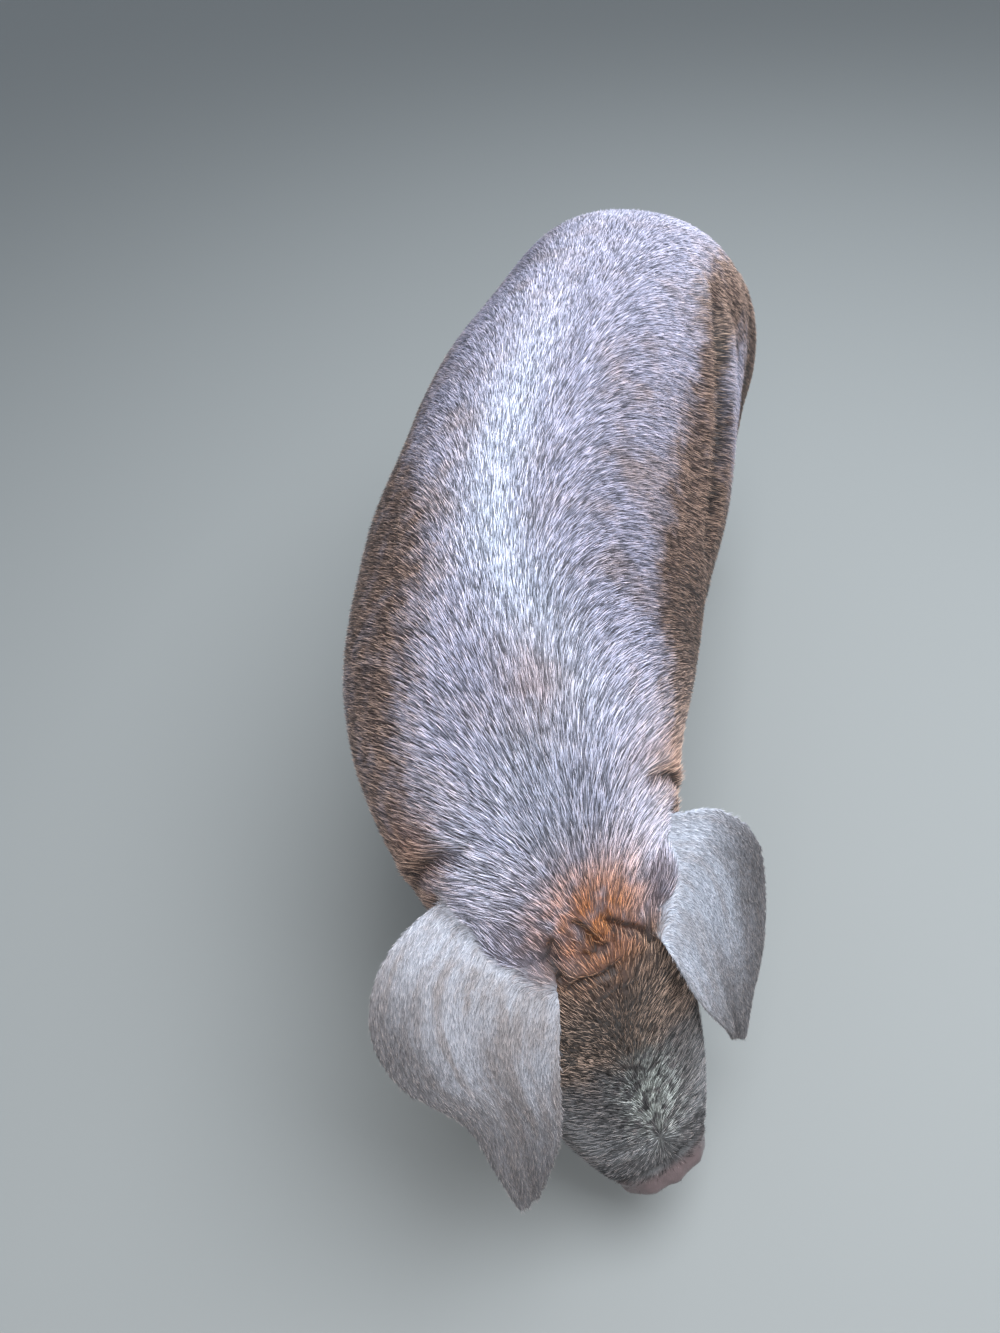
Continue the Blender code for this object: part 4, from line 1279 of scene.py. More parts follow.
@dataclass
class Growth:
    """How the hair grows on the skin: its markings, its direction, its length and its part of the coat."""

    skin: Skin
    left_fan: float = math.radians(66)
    right_fan: float = math.radians(48)
    back_length: float = 0.0150
    belly_length: float = 0.0100
    leg_length: float = 0.0085
    face_length: float = 0.0150
    ear_length: float = 0.0075

    def masks(self) -> dict[str, Array]:
        """Soft masks from 0 to 1 for each marking and for the painted light and shade, one value a point.

        Returns:
            One value a point for each name.
        """
        skin = self.skin
        normal = skin.surface.normals()
        u, y, z = skin.straight.T
        a, b, c = skin.local.T
        head = skin.headness
        row, column = skin.ear_place.T
        ear_root = ramp(0.32 - column, 0.0, 0.16) * ramp(0.24 - row, 0.0, 0.10)
        ear = np.maximum(*skin.earness.values()) * (1 - ear_root)
        face = ramp(a, 0.020, 0.090) * head * (1 - ear)
        # Where the back's own grey coat lies, painted paler where the skin faces up as painted top light
        edge = 0.160 - 0.080 * (y < 0) * hump(u, 0.45, 0.16)
        edge = edge - (y > 0) * (0.020 * ramp(u, 0.52, 0.62) + 0.025 * ramp(-u, 0.0, 0.15))
        ahead = 0.30 * ramp(u, 0.40, 0.60)
        soft = 0.030 * (y < 0)
        crown = ramp(edge - np.abs(y), -0.060 - soft, 0.045 + soft)
        # Painted top light: the paler the more the skin faces up
        crown = crown * ramp(normal[:, 2], 0.16 - ahead, 0.68 - ahead)
        # Painted light on the right side: its flank takes some of the back's paler colour where it faces up
        # a little
        crown = np.maximum(crown, 0.30 * (y < 0) * ramp(normal[:, 2], -0.10, 0.25))
        # Painted sheen: a pale bluish strip on the left thigh, in the back's colour
        thigh = hump(u, -0.16, 0.25) * ramp(y, 0.180, 0.212) * ramp(z, 0.38, 0.62)
        crown = np.maximum(crown, 0.9 * thigh) * (1 - face) * (1 - ear) * ramp(z, 0.30, 0.50)
        warm = (hump(y, 0.120, 0.050) + hump(y, -0.075, 0.032)) * hump(u, 0.28, 0.30)
        # Painted highlight: a near-white strip along the crest of the back
        middle = -0.018 + 0.050 * ramp(u, 0.38, 0.58) - 0.042 * ramp(u, 0.60, 0.68)
        wide = 0.034 + 0.010 * ramp(u, 0.36, 0.50) + 0.028 * ramp(u, 0.58, 0.66)
        band = hump(y, middle, wide) * crown * ramp(u, -0.12, 0.42) * (1 - 0.4 * ramp(u, 0.58, 0.68))
        rust = hump(a, 0.015, 0.058) * hump(b, 0.0, 0.060) * ramp(c, 0.03, 0.08)
        dust = hump(a, 0.285, 0.052) * hump(b, 0.008, 0.030) * ramp(c, -0.01, 0.02)
        snout = ramp(a, skin.head.length - 0.030, skin.head.length - 0.020)
        gap = np.linalg.norm(skin.local - skin.eye_side(), axis=1)
        rim = ramp(0.026 - gap, 0.0, 0.008)
        nape = hump(u, 0.650, 0.040) * hump(z, 0.555, 0.055)
        nape *= ramp(np.abs(y) + 0.035 * (y > 0), 0.095, 0.135) * (1 - ear)
        return {
            "crown": crown,
            "band": band,
            "rust": rust * (1 - ear),
            "face": face,
            "dust": dust * head * (1 - ear),
            "ear": ear,
            "bare": np.maximum(snout, 0.8 * rim),
            "below": ramp(-normal[:, 2], 0.30, 0.85) * (1 - head) * (1 - ear),
            "leg": ramp(0.34 - z, 0.0, 0.10) * (1 - head) * (1 - ear) * (u < 0.55),
            "nape": nape,
            "flush": hump(u, 0.590, 0.045) * hump(y, 0.012, 0.035) * ramp(z, 0.50, 0.60),
            # Painted shade in the folds and along the mouth; it also thins the hair there
            "crease": skin.creases(),
            "warm": warm,
            "muzzle": ramp(a, 0.150, 0.270) * head * (1 - ear),
            # The left side, whose ear is painted paler as painted light
            "left": 1.0 * (y > 0),
        }

    def lie(self, masks: dict[str, Array]) -> Array:
        """The way the hair points at each place of the skin.

        Args:
            masks: The masks of the markings.

        Returns:
            Unit vectors along the skin, one a point.
        """
        skin = self.skin
        u, y, _ = skin.straight.T
        a, b, _ = skin.local.T
        side = np.tanh(y / 0.035)
        most = np.where(y > 0, self.left_fan, self.right_fan)
        fan = most * ramp(np.abs(y), 0.0, 0.17)
        fan = fan * (1 - 0.65 * ramp(u, 0.42, 0.66)) * (1 - 0.7 * masks["below"])
        drop = 0.9 * np.sin(fan) + 1.2 * ramp(-u, 0.50, 0.60)
        trunk = np.stack([-np.cos(fan), side * np.sin(fan), -drop], 1)
        leg = np.stack([-0.18 + 0 * u, 0.10 * side, -1 + 0 * u], 1)
        trunk += (leg - trunk) * masks["leg"][:, None]
        way = np.tanh(b / 0.030)
        fall = 0.55 * ramp(np.abs(b), 0.03, 0.10) * ramp(a, -0.02, 0.10)
        whorl = hump(a, 0.280, 0.075)
        face = np.stack([-np.tanh((0.350 - a) / 0.085), (0.40 + 0.50 * whorl) * way, -fall], 1)
        face = face @ skin.head.axes.matrix().T
        flow = trunk + (face - trunk) * skin.headness[:, None]
        ear = masks["ear"][:, None]
        flow = flow * (1 - ear) + unit(skin.ear_lie) * ear
        path = skin.tail.path()
        on_tail = np.flatnonzero((u < -0.585) & (np.abs(y) < 0.12))
        gap, share = distance_to_path(skin.straight[on_tail], path)
        ahead = unit(np.gradient(path, axis=0))[(share * (len(path) - 1)).astype(int)]
        held = ramp(0.030 - gap, 0.0, 0.008) * ramp(share, 0.08, 0.16)
        flow[on_tail] += (ahead - flow[on_tail]) * held[:, None]
        flow = skin.spine.turn_directions(u, unit(flow))
        normal = skin.surface.normals()
        flow = unit(flow - normal * np.sum(flow * normal, 1, keepdims=True))
        flow = skin.surface.spread(flow, np.full(len(flow), 0.5), 4)
        return unit(flow - normal * np.sum(flow * normal, 1, keepdims=True))

    def size(self, masks: dict[str, Array]) -> tuple[Array, Array]:
        """Length of the hair in metres, and how thickly it stands, relative to the rest of its part.

        Args:
            masks: The masks of the markings.

        Returns:
            Lengths, and weights from 0 to 1.
        """
        skin = self.skin
        u, y, z = skin.straight.T
        a = skin.local[:, 0]
        length = self.back_length + 0.0035 * ramp(u, 0.40, 0.62) + 0.0015 * np.sin(9 * u + 5 * y)
        leg = self.leg_length - 0.0025 * ramp(-z, -0.16, -0.08)
        face = self.face_length - 0.0030 * ramp(a, 0.06, 0.22) - 0.0050 * ramp(a, 0.30, 0.38)
        for there, share in (
            (self.belly_length, masks["below"]),
            (leg, masks["leg"]),
            (face, skin.headness),
            (self.ear_length, masks["ear"]),
        ):
            length = length + (there - length) * share
        weight = 1 - 0.985 * masks["bare"]
        weight *= 1 - 0.35 * masks["below"]
        weight *= 1 - 0.45 * ramp(0.25 - a, 0.0, 0.15) * skin.headness * (1 - masks["ear"])
        weight *= ramp(z, 0.040, 0.050) * (1 - 0.6 * masks["crease"])
        return length, weight

    def parts(self) -> Array:
        """The part of the coat that each face of the skin belongs to.

        Returns:
            The number of a part, one a face.
        """
        skin = self.skin
        faces = skin.surface.faces
        u, y, z = skin.straight[faces].mean(1).T
        normal = skin.surface.normals()[faces].mean(1)
        ears = {side: skin.earness[side][faces].mean(1) > 0.5 for side in Side}
        head = skin.headness[faces].mean(1) > 0.5
        made = np.where(y > 0, Coat.BACK_LEFT.value, Coat.BACK_RIGHT.value)
        flank = normal[:, 2] < 0.45
        made[flank & (y > 0)] = Coat.FLANK_LEFT.value
        made[flank & (y <= 0)] = Coat.FLANK_RIGHT.value
        made[u < -0.36] = Coat.RUMP.value
        made[(normal[:, 2] < -0.55) & (z < 0.45)] = Coat.UNDERSIDE.value
        made[u > 0.47] = Coat.NECK.value
        made[(z < 0.34) & (u < 0.50) & ((z < 0.285) | (np.abs(np.abs(y) - 0.14) < 0.06))] = Coat.LEGS.value
        made[head] = Coat.FACE.value
        made[ears[Side.LEFT]] = Coat.EAR_LEFT.value
        made[ears[Side.RIGHT]] = Coat.EAR_RIGHT.value
        return made

    def write(self, obj: Object) -> dict[Coat, float]:
        """Stores the growth on the skin.

        Args:
            obj: The skin's object.

        Returns:
            For each part of the coat, its area weighed by how thickly the hair stands.
        """
        masks = self.masks()
        length, weight = self.size(masks)
        mesh = obj.data
        for name, columns in LAYERS.items():
            store(mesh, name, np.stack([masks[column] for column in columns], 1))
        store(mesh, "ear_place", np.pad(self.skin.ear_place, ((0, 0), (0, 1))))
        store(mesh, "lie", self.lie(masks))
        store(mesh, "hair_length", length[:, None])
        store(mesh, "hair_weight", weight[:, None])
        parts = self.parts()
        mesh.attributes.new("part", "INT", "FACE").data.foreach_set("value", parts.astype(np.int32))
        faces = self.skin.surface.faces
        p = self.skin.surface.points[faces]
        size = 0.5 * np.linalg.norm(np.cross(p[:, 1] - p[:, 0], p[:, 2] - p[:, 0]), axis=1)
        size *= weight[faces].mean(1)
        return {part: float(size[parts == part.value].sum()) for part in Coat}


def store(mesh: Mesh, name: str, values: Array, domain: str = "POINT") -> None:
    """Writes one column or three, a row a point or a corner, as a named attribute."""
    kind, key = ("FLOAT", "value") if values.shape[1] == 1 else ("FLOAT_VECTOR", "vector")
    mesh.attributes.new(name, kind, domain).data.foreach_set(key, values.astype(np.float32).ravel())


# Nodes, for shaders and for geometry


def arithmetic(operation: str, swapped: bool = False) -> Callable[["Wire", Any], "Wire"]:
    """A method for one arithmetic sign, for a wire before it or, swapped, after it."""
    return lambda wire, other: wire.combined(operation, *((other, wire) if swapped else (wire, other)))


class Wire:
    """One output of a node. Arithmetic on it adds Math or Vector Math nodes."""

    def __init__(self, graph: "Graph", socket: bpy.types.NodeSocket) -> None:
        """Holds the output and the graph that it is in."""
        self.graph = graph
        self.socket = socket

    def _vector(self) -> bool:
        """Whether this carries three numbers."""
        return self.socket.type in ("VECTOR", "RGBA")

    def combined(self, operation: str, first: Any, second: Any) -> "Wire":
        """The node for one sum, on numbers or on vectors.

        Args:
            operation: The node's operation.
            first: A wire or a number.
            second: A wire or a number.

        Returns:
            The sum's result.
        """
        wide = any(isinstance(v, Wire) and v._vector() for v in (first, second))
        kind = "ShaderNodeVectorMath" if wide else "ShaderNodeMath"
        if wide:
            first, second = (v if isinstance(v, Wire) else (v, v, v) for v in (first, second))
        return self.graph.node(kind, {"operation": operation}, {0: first, 1: second})

    __add__, __radd__ = arithmetic("ADD"), arithmetic("ADD", swapped=True)
    __sub__, __rsub__ = arithmetic("SUBTRACT"), arithmetic("SUBTRACT", swapped=True)
    __mul__, __rmul__ = arithmetic("MULTIPLY"), arithmetic("MULTIPLY", swapped=True)


class Graph:
    """A node tree under construction."""

    def __init__(self, tree: bpy.types.NodeTree) -> None:
        """Holds the tree that the nodes go to."""
        self.tree = tree

    def node(self, kind: str, settings: Settings | None = None, sockets: Sockets | None = None) -> Wire:
        """Adds a node.

        Args:
            kind: The node's type.
            settings: Its properties, and "stops" for a ramp: pairs of place and colour or brightness.
            sockets: Values or wires for its inputs, by name or by index.

        Returns:
            Its first shown output.
        """
        made = self.tree.nodes.new(kind)
        for name, value in (settings or {}).items():
            if name == "stops":
                self._fill_ramp(made.color_ramp, value)
            else:
                setattr(made, name, value)
        shown = [socket for socket in made.inputs if socket.enabled]
        for key, value in (sockets or {}).items():
            socket = shown[key] if isinstance(key, int) else next(s for s in shown if s.name == key)
            self.feed(socket, value)
        outputs = [socket for socket in made.outputs if socket.enabled]
        return Wire(self, outputs[0] if outputs else None)

    def feed(self, socket: bpy.types.NodeSocket, value: Any) -> None:
        """Links a wire to an input, or sets the input's own value.

        Args:
            socket: The input.
            value: A wire or a value.
        """
        if isinstance(value, Wire):
            self.tree.links.new(value.socket, socket)
        elif socket.type == "RGBA" and len(value) == 3:
            socket.default_value = (*value, 1.0)
        else:
            socket.default_value = value

    def _fill_ramp(self, colours: bpy.types.ColorRamp, stops: Sequence[tuple[float, Any]]) -> None:
        """Sets a colour ramp's stops.

        Args:
            colours: The ramp.
            stops: Pairs of place and colour or brightness.
        """
        while len(colours.elements) < len(stops):
            colours.elements.new(1.0)
        for element, (place, value) in zip(colours.elements, stops):
            element.position = place
            element.color = (*value, 1.0) if isinstance(value, tuple) else (value, value, value, 1.0)

    def output(self, wire: Wire, name: str) -> Wire:
        """Another output of the node that a wire comes from."""
        return Wire(self, next(s for s in wire.socket.node.outputs if s.enabled and s.name == name))

    def attribute(self, name: str, kind: str = "Fac") -> Wire:
        """What a shader reads from the mesh: a number, or with kind "Vector" three of them."""
        return self.output(self.node("ShaderNodeAttribute", {"attribute_name": name}), kind)

    def markings(self) -> dict[str, Wire]:
        """The masks of the markings, as a shader reads them.

        Returns:
            A number from 0 to 1 for each mask's name.
        """
        masks = {}
        for layer, names in LAYERS.items():
            masks.update(zip(names, self.split(self.attribute(layer, "Vector"))))
        return masks

    def split(self, wire: Wire) -> tuple[Wire, Wire, Wire]:
        """The three numbers of a vector."""
        made = self.node("ShaderNodeSeparateXYZ", None, {0: wire})
        return made, self.output(made, "Y"), self.output(made, "Z")

    def noise(self, place: Wire, scale: float, detail: float = 2.0) -> Wire:
        """A noise from 0 to 1 at a place."""
        return self.node("ShaderNodeTexNoise", None, {"Vector": place, "Scale": scale, "Detail": detail})

    def steps(self, wire: Wire, low: float, high: float) -> Wire:
        """A soft step of a number, from 0 at low to 1 at high."""
        settings = {"interpolation_type": "SMOOTHSTEP"}
        return self.node("ShaderNodeMapRange", settings, {"Value": wire, "From Min": low, "From Max": high})

    def mix(self, share: Any, first: Any, second: Any) -> Wire:
        """A colour between two others."""
        return self.node("ShaderNodeMix", {"data_type": "RGBA"}, {"Factor": share, "A": first, "B": second})

    def relief(self, height: Wire, strength: float) -> Wire:
        """A normal bent by a height of up to 0.6 mm."""
        sockets = {"Strength": strength, "Distance": 0.0006, "Height": height}
        return self.node("ShaderNodeBump", None, sockets)

    def place(self) -> Wire:
        """A place on the piece, in metres."""
        return self.output(self.node("ShaderNodeTexCoord"), "Object")


def shader(name: str, fixed: dict[str, Any]) -> tuple[Material, Graph, bpy.types.Node]:
    """A material with its graph and its main shader.

    Args:
        name: The material's name.
        fixed: Values that are the same all over it.

    Returns:
        The material, its graph and its Principled shader.
    """
    material = bpy.data.materials.new(name)
    material.use_nodes = True
    principled = material.node_tree.nodes["Principled BSDF"]
    graph = Graph(material.node_tree)
    for key, value in fixed.items():
        graph.feed(principled.inputs[key], value)
    return material, graph, principled


# Finishes


@dataclass(frozen=True)
class Palette:
    """The colours of the pig's markings and of its painted light and shade, for skin or for hair."""

    flank: Colour
    # The back's own grey coat under a painted bluish sheen
    back: Colour
    patch: Colour
    # The painted highlight along the spine
    band: Colour
    rust: Colour
    nape: Colour
    flush: Colour
    face: Colour
    muzzle: Colour
    dust: Colour
    # The ear's own pale grey under a painted bluish sheen
    ear_root: Colour
    ear_middle: Colour
    ear_tip: Colour
    bare: Colour
    below: Colour
    leg: Colour

    def paint(self, graph: Graph, place: Wire, marks: dict[str, Wire]) -> Wire:
        """Lays the markings, the painted light and the painted shade of the creases over one another.

        Args:
            graph: The material's graph.
            place: The place on the piece, in metres.
            marks: The masks of the markings.

        Returns:
            The colour before any variation from hair to hair.
        """
        mottle = graph.noise(place, 34.0, 3.0)
        patches = graph.steps(graph.noise(place, 17.0, 6.0), 0.44, 0.66)
        patches = patches * (0.28 + marks["warm"] * 0.40) * (1.0 - marks["band"] * 0.8)
        colour = graph.mix(patches + marks["warm"] * 0.12, self.back, self.patch)
        # The back's grey coat and its painted top light, over the flank's own brown
        crown = graph.steps(marks["crown"] + (mottle - 0.5) * 0.9, 0.22, 0.80)
        grey = graph.steps(marks["muzzle"] + (mottle - 0.5) * 0.8, 0.25, 0.85)
        grain = graph.steps(graph.noise(place, 90.0, 3.0), 0.38, 0.60)
        colour = graph.mix(crown, self.flank, colour)
        for share, marking in (
            (marks["band"] * (0.45 + mottle * 0.8), self.band),
            (marks["flush"] * mottle, self.flush),
            (marks["below"], self.below),
            (marks["leg"], self.leg),
            (marks["nape"] * (0.5 + mottle * 0.8), self.nape),
            (marks["face"] * (0.75 + mottle * 0.4), graph.mix(grey, self.face, self.muzzle)),
            (marks["rust"] * graph.steps(mottle, 0.15, 0.60) * 1.2, self.rust),
            (marks["dust"] * grain, self.dust),
            (marks["ear"], self.ear(graph, place, marks["left"])),
            (marks["bare"], self.bare),
        ):
            colour = graph.mix(share, colour, marking)
        # Painted shade: darker in the folds and along the mouth
        return colour * (1.0 - marks["crease"] * 0.75)

    def ear(self, graph: Graph, place: Wire, left: Wire) -> Wire:
        """An ear's colour: pale grey with a painted bluish sheen at the root, brown in streaks, grey at its
        tip and its outer edge.

        Args:
            graph: The material's graph.
            place: The place on the piece, in metres.
            left: 1 on the left ear, which is painted paler as painted light, 0 on the right one.

        Returns:
            The ear's colour.
        """
        share, across, _ = graph.split(graph.attribute("ear_place", "Vector"))
        sockets = {"X": share * 3.2, "Y": across * 11.0, "Z": 0.4}
        drawn_out = graph.node("ShaderNodeCombineXYZ", None, sockets)
        streaks = graph.steps(graph.noise(drawn_out, 1.0, 5.0), 0.38, 0.64)
        mottle = graph.noise(place, 60.0, 3.0)
        root = graph.steps(share + mottle * 0.30, 0.46, 0.14)
        outer = graph.steps(across + mottle * 0.20, 0.70, 1.02) * graph.steps(share, 0.22, 0.50)
        tip = graph.steps(share + mottle * 0.20, 0.55, 1.00)
        # Painted light: the left ear is drawn paler, nearer its root's colour
        colour = graph.mix(0.62 + streaks * 0.30 - left * 0.32, self.ear_root, self.ear_middle)
        # Painted sheen: the root is drawn pale and bluish
        colour = graph.mix(root * 0.50, colour, self.ear_root)
        return graph.mix((tip + outer * (1.0 - tip)) * 0.90, colour, self.ear_tip)


SKIN_COLOURS = Palette(
    flank=(0.030, 0.020, 0.017),
    back=(0.070, 0.060, 0.072),
    # Grey back under a painted bluish sheen, then the painted highlight along the spine
    patch=(0.070, 0.048, 0.046),
    band=(0.150, 0.155, 0.185),
    rust=(0.130, 0.045, 0.018),
    nape=(0.075, 0.036, 0.024),
    flush=(0.200, 0.125, 0.115),
    face=(0.034, 0.023, 0.018),
    muzzle=(0.040, 0.036, 0.035),
    dust=(0.170, 0.170, 0.150),
    # Ear root: its own pale grey under a painted bluish sheen
    ear_root=(0.420, 0.450, 0.520),
    ear_middle=(0.190, 0.160, 0.150),
    ear_tip=(0.085, 0.075, 0.075),
    bare=(0.085, 0.058, 0.056),
    below=(0.080, 0.056, 0.050),
    leg=(0.036, 0.026, 0.022),
)

HAIR_COLOURS = Palette(
    flank=(0.160, 0.108, 0.092),
    back=(0.380, 0.370, 0.465),
    # Grey back under a painted bluish sheen, then the painted highlight along the spine
    patch=(0.330, 0.260, 0.255),
    band=(0.540, 0.565, 0.660),
    rust=(0.800, 0.330, 0.125),
    nape=(0.220, 0.115, 0.078),
    flush=(0.470, 0.340, 0.330),
    face=(0.340, 0.240, 0.185),
    muzzle=(0.108, 0.100, 0.100),
    dust=(0.640, 0.670, 0.620),
    # Ear root: its own pale grey under a painted bluish sheen
    ear_root=(0.690, 0.730, 0.830),
    ear_middle=(0.310, 0.270, 0.265),
    ear_tip=(0.180, 0.162, 0.160),
    bare=(0.120, 0.090, 0.082),
    below=(0.180, 0.130, 0.112),
    leg=(0.095, 0.066, 0.054),
)


@dataclass(frozen=True)
class HideFinish:
    """Skin with pores and fine lines, dull on the body and moist on the snout."""

    colours: Palette
    pore_scale: float = 420.0
    line_scale: float = 95.0

    def material(self) -> Material:
        """Makes the skin's material.

        Returns:
            The material.
        """
        made, graph, main = shader("pig_skin", {"IOR": 1.42, "Sheen Weight": 0.10, "Sheen Roughness": 0.5})
        place, marks = graph.place(), graph.markings()
        colour = self.colours.paint(graph, place, marks)
        blotch = graph.noise(place, 140.0, 3.0)
        graph.feed(main.inputs["Base Color"], colour * (0.72 + blotch * 0.56))
        graph.feed(main.inputs["Roughness"], 0.60 - marks["bare"] * 0.22 + blotch * 0.06)
        sockets = {"Vector": place, "Scale": self.pore_scale}
        pores = graph.node("ShaderNodeTexVoronoi", {"feature": "F1"}, sockets)
        sockets = {"Vector": place, "Scale": self.line_scale}
        lines = graph.node("ShaderNodeTexVoronoi", {"feature": "DISTANCE_TO_EDGE"}, sockets)
        height = graph.noise(place, 260.0, 4.0) * 0.6 + pores * 0.5 + graph.steps(lines, 0.0, 0.12) * 0.35
        graph.feed(main.inputs["Normal"], graph.relief(height, 0.55))
        return made


@dataclass(frozen=True)
class BristleFinish:
    """Coarse glossy hair, dark at the root, pale at the tip, some of it tipped like straw."""

    colours: Palette
    root_shade: float = 0.30
    tip_light: float = 1.15
    middle: float = 0.92
    spread: float = 2.10
    straw: Colour = (0.700, 0.470, 0.340)

    def material(self) -> Material:
        """Makes the hair's material.

        Returns:
            The material.
        """
        made, graph, main = shader("pig_bristle", {"Roughness": 0.46, "IOR": 1.46})
        marks = graph.markings()
        colour = self.colours.paint(graph, graph.place(), marks)
        tip, tone = graph.attribute("tip"), graph.attribute("tone")
        crown, face, ear = marks["crown"], marks["face"], marks["ear"]
        plain = (1.0 - crown * 0.45) * (1.0 - ear * 0.6) * (1.0 - marks["muzzle"] * 0.75)
        warm = graph.steps(tone + (1.0 - crown) * (1.0 - face) * 0.14, 0.76, 0.90)
        warm = warm * graph.steps(tip, 0.2, 0.8)
        strong = (1.0 - ear * 0.35 + face * 0.30) * self.spread
        shade = (self.root_shade + tip * self.tip_light) * (self.middle + (tone * tone - 0.333) * strong)
        graph.feed(main.inputs["Base Color"], graph.mix(warm * plain * 0.75, colour * shade, self.straw))
        return made


@dataclass(frozen=True)
class HornFinish:
    """Dark horn with growth rings, worn and dusty towards the ground."""

    horn: Colour = (0.085, 0.068, 0.055)
    worn: Colour = (0.230, 0.195, 0.150)
    ring_scale: float = 330.0

    def material(self) -> Material:
        """Makes the horn's material.

        Returns:
            The material.
        """
        made, graph, main = shader("pig_horn", {"IOR": 1.55})
        place = graph.place()
        height = graph.split(place)[2]
        grain = graph.noise(place, 180.0, 3.0)
        low = graph.steps(height + grain * 0.02, 0.040, 0.004)
        colour = graph.mix(low * 0.75, self.horn, self.worn)
        graph.feed(main.inputs["Base Color"], colour * (0.75 + grain * 0.5))
        graph.feed(main.inputs["Roughness"], 0.46 + grain * 0.22)
        settings = {"wave_type": "BANDS", "bands_direction": "Z"}
        sockets = {"Vector": place, "Scale": self.ring_scale / 3, "Distortion": 3.0, "Detail": 2.0}
        rings = graph.node("ShaderNodeTexWave", settings, sockets)
        graph.feed(main.inputs["Normal"], graph.relief(rings + grain * 0.5, 0.6))
        return made


@dataclass(frozen=True)
class EyeFinish:
    """A brown iris with a round pupil under a clear wet cornea."""

    pupil: Colour = (0.004, 0.003, 0.003)
    iris: Colour = (0.085, 0.034, 0.012)
    rim: Colour = (0.018, 0.010, 0.007)
    white: Colour = (0.300, 0.230, 0.190)

    def material(self) -> Material:
        """Makes the eye's material.

        Returns:
            The material.
        """
        fixed = {"Roughness": 0.12, "IOR": 1.38, "Coat Weight": 1.0, "Coat Roughness": 0.02}
        made, graph, main = shader("pig_eye", fixed)
        reach = graph.attribute("reach")
        grain = graph.noise(graph.place(), 900.0, 3.0)
        inner = [(0.0, self.pupil), (0.24, self.pupil), (0.28, self.iris)]
        stops = [*inner, (0.58, self.iris), (0.66, self.rim), (0.74, self.white)]
        colours = graph.node("ShaderNodeValToRGB", {"stops": stops}, {"Fac": reach})
        graph.feed(main.inputs["Base Color"], colours * (0.70 + grain * 0.60))
        return made


# The coat


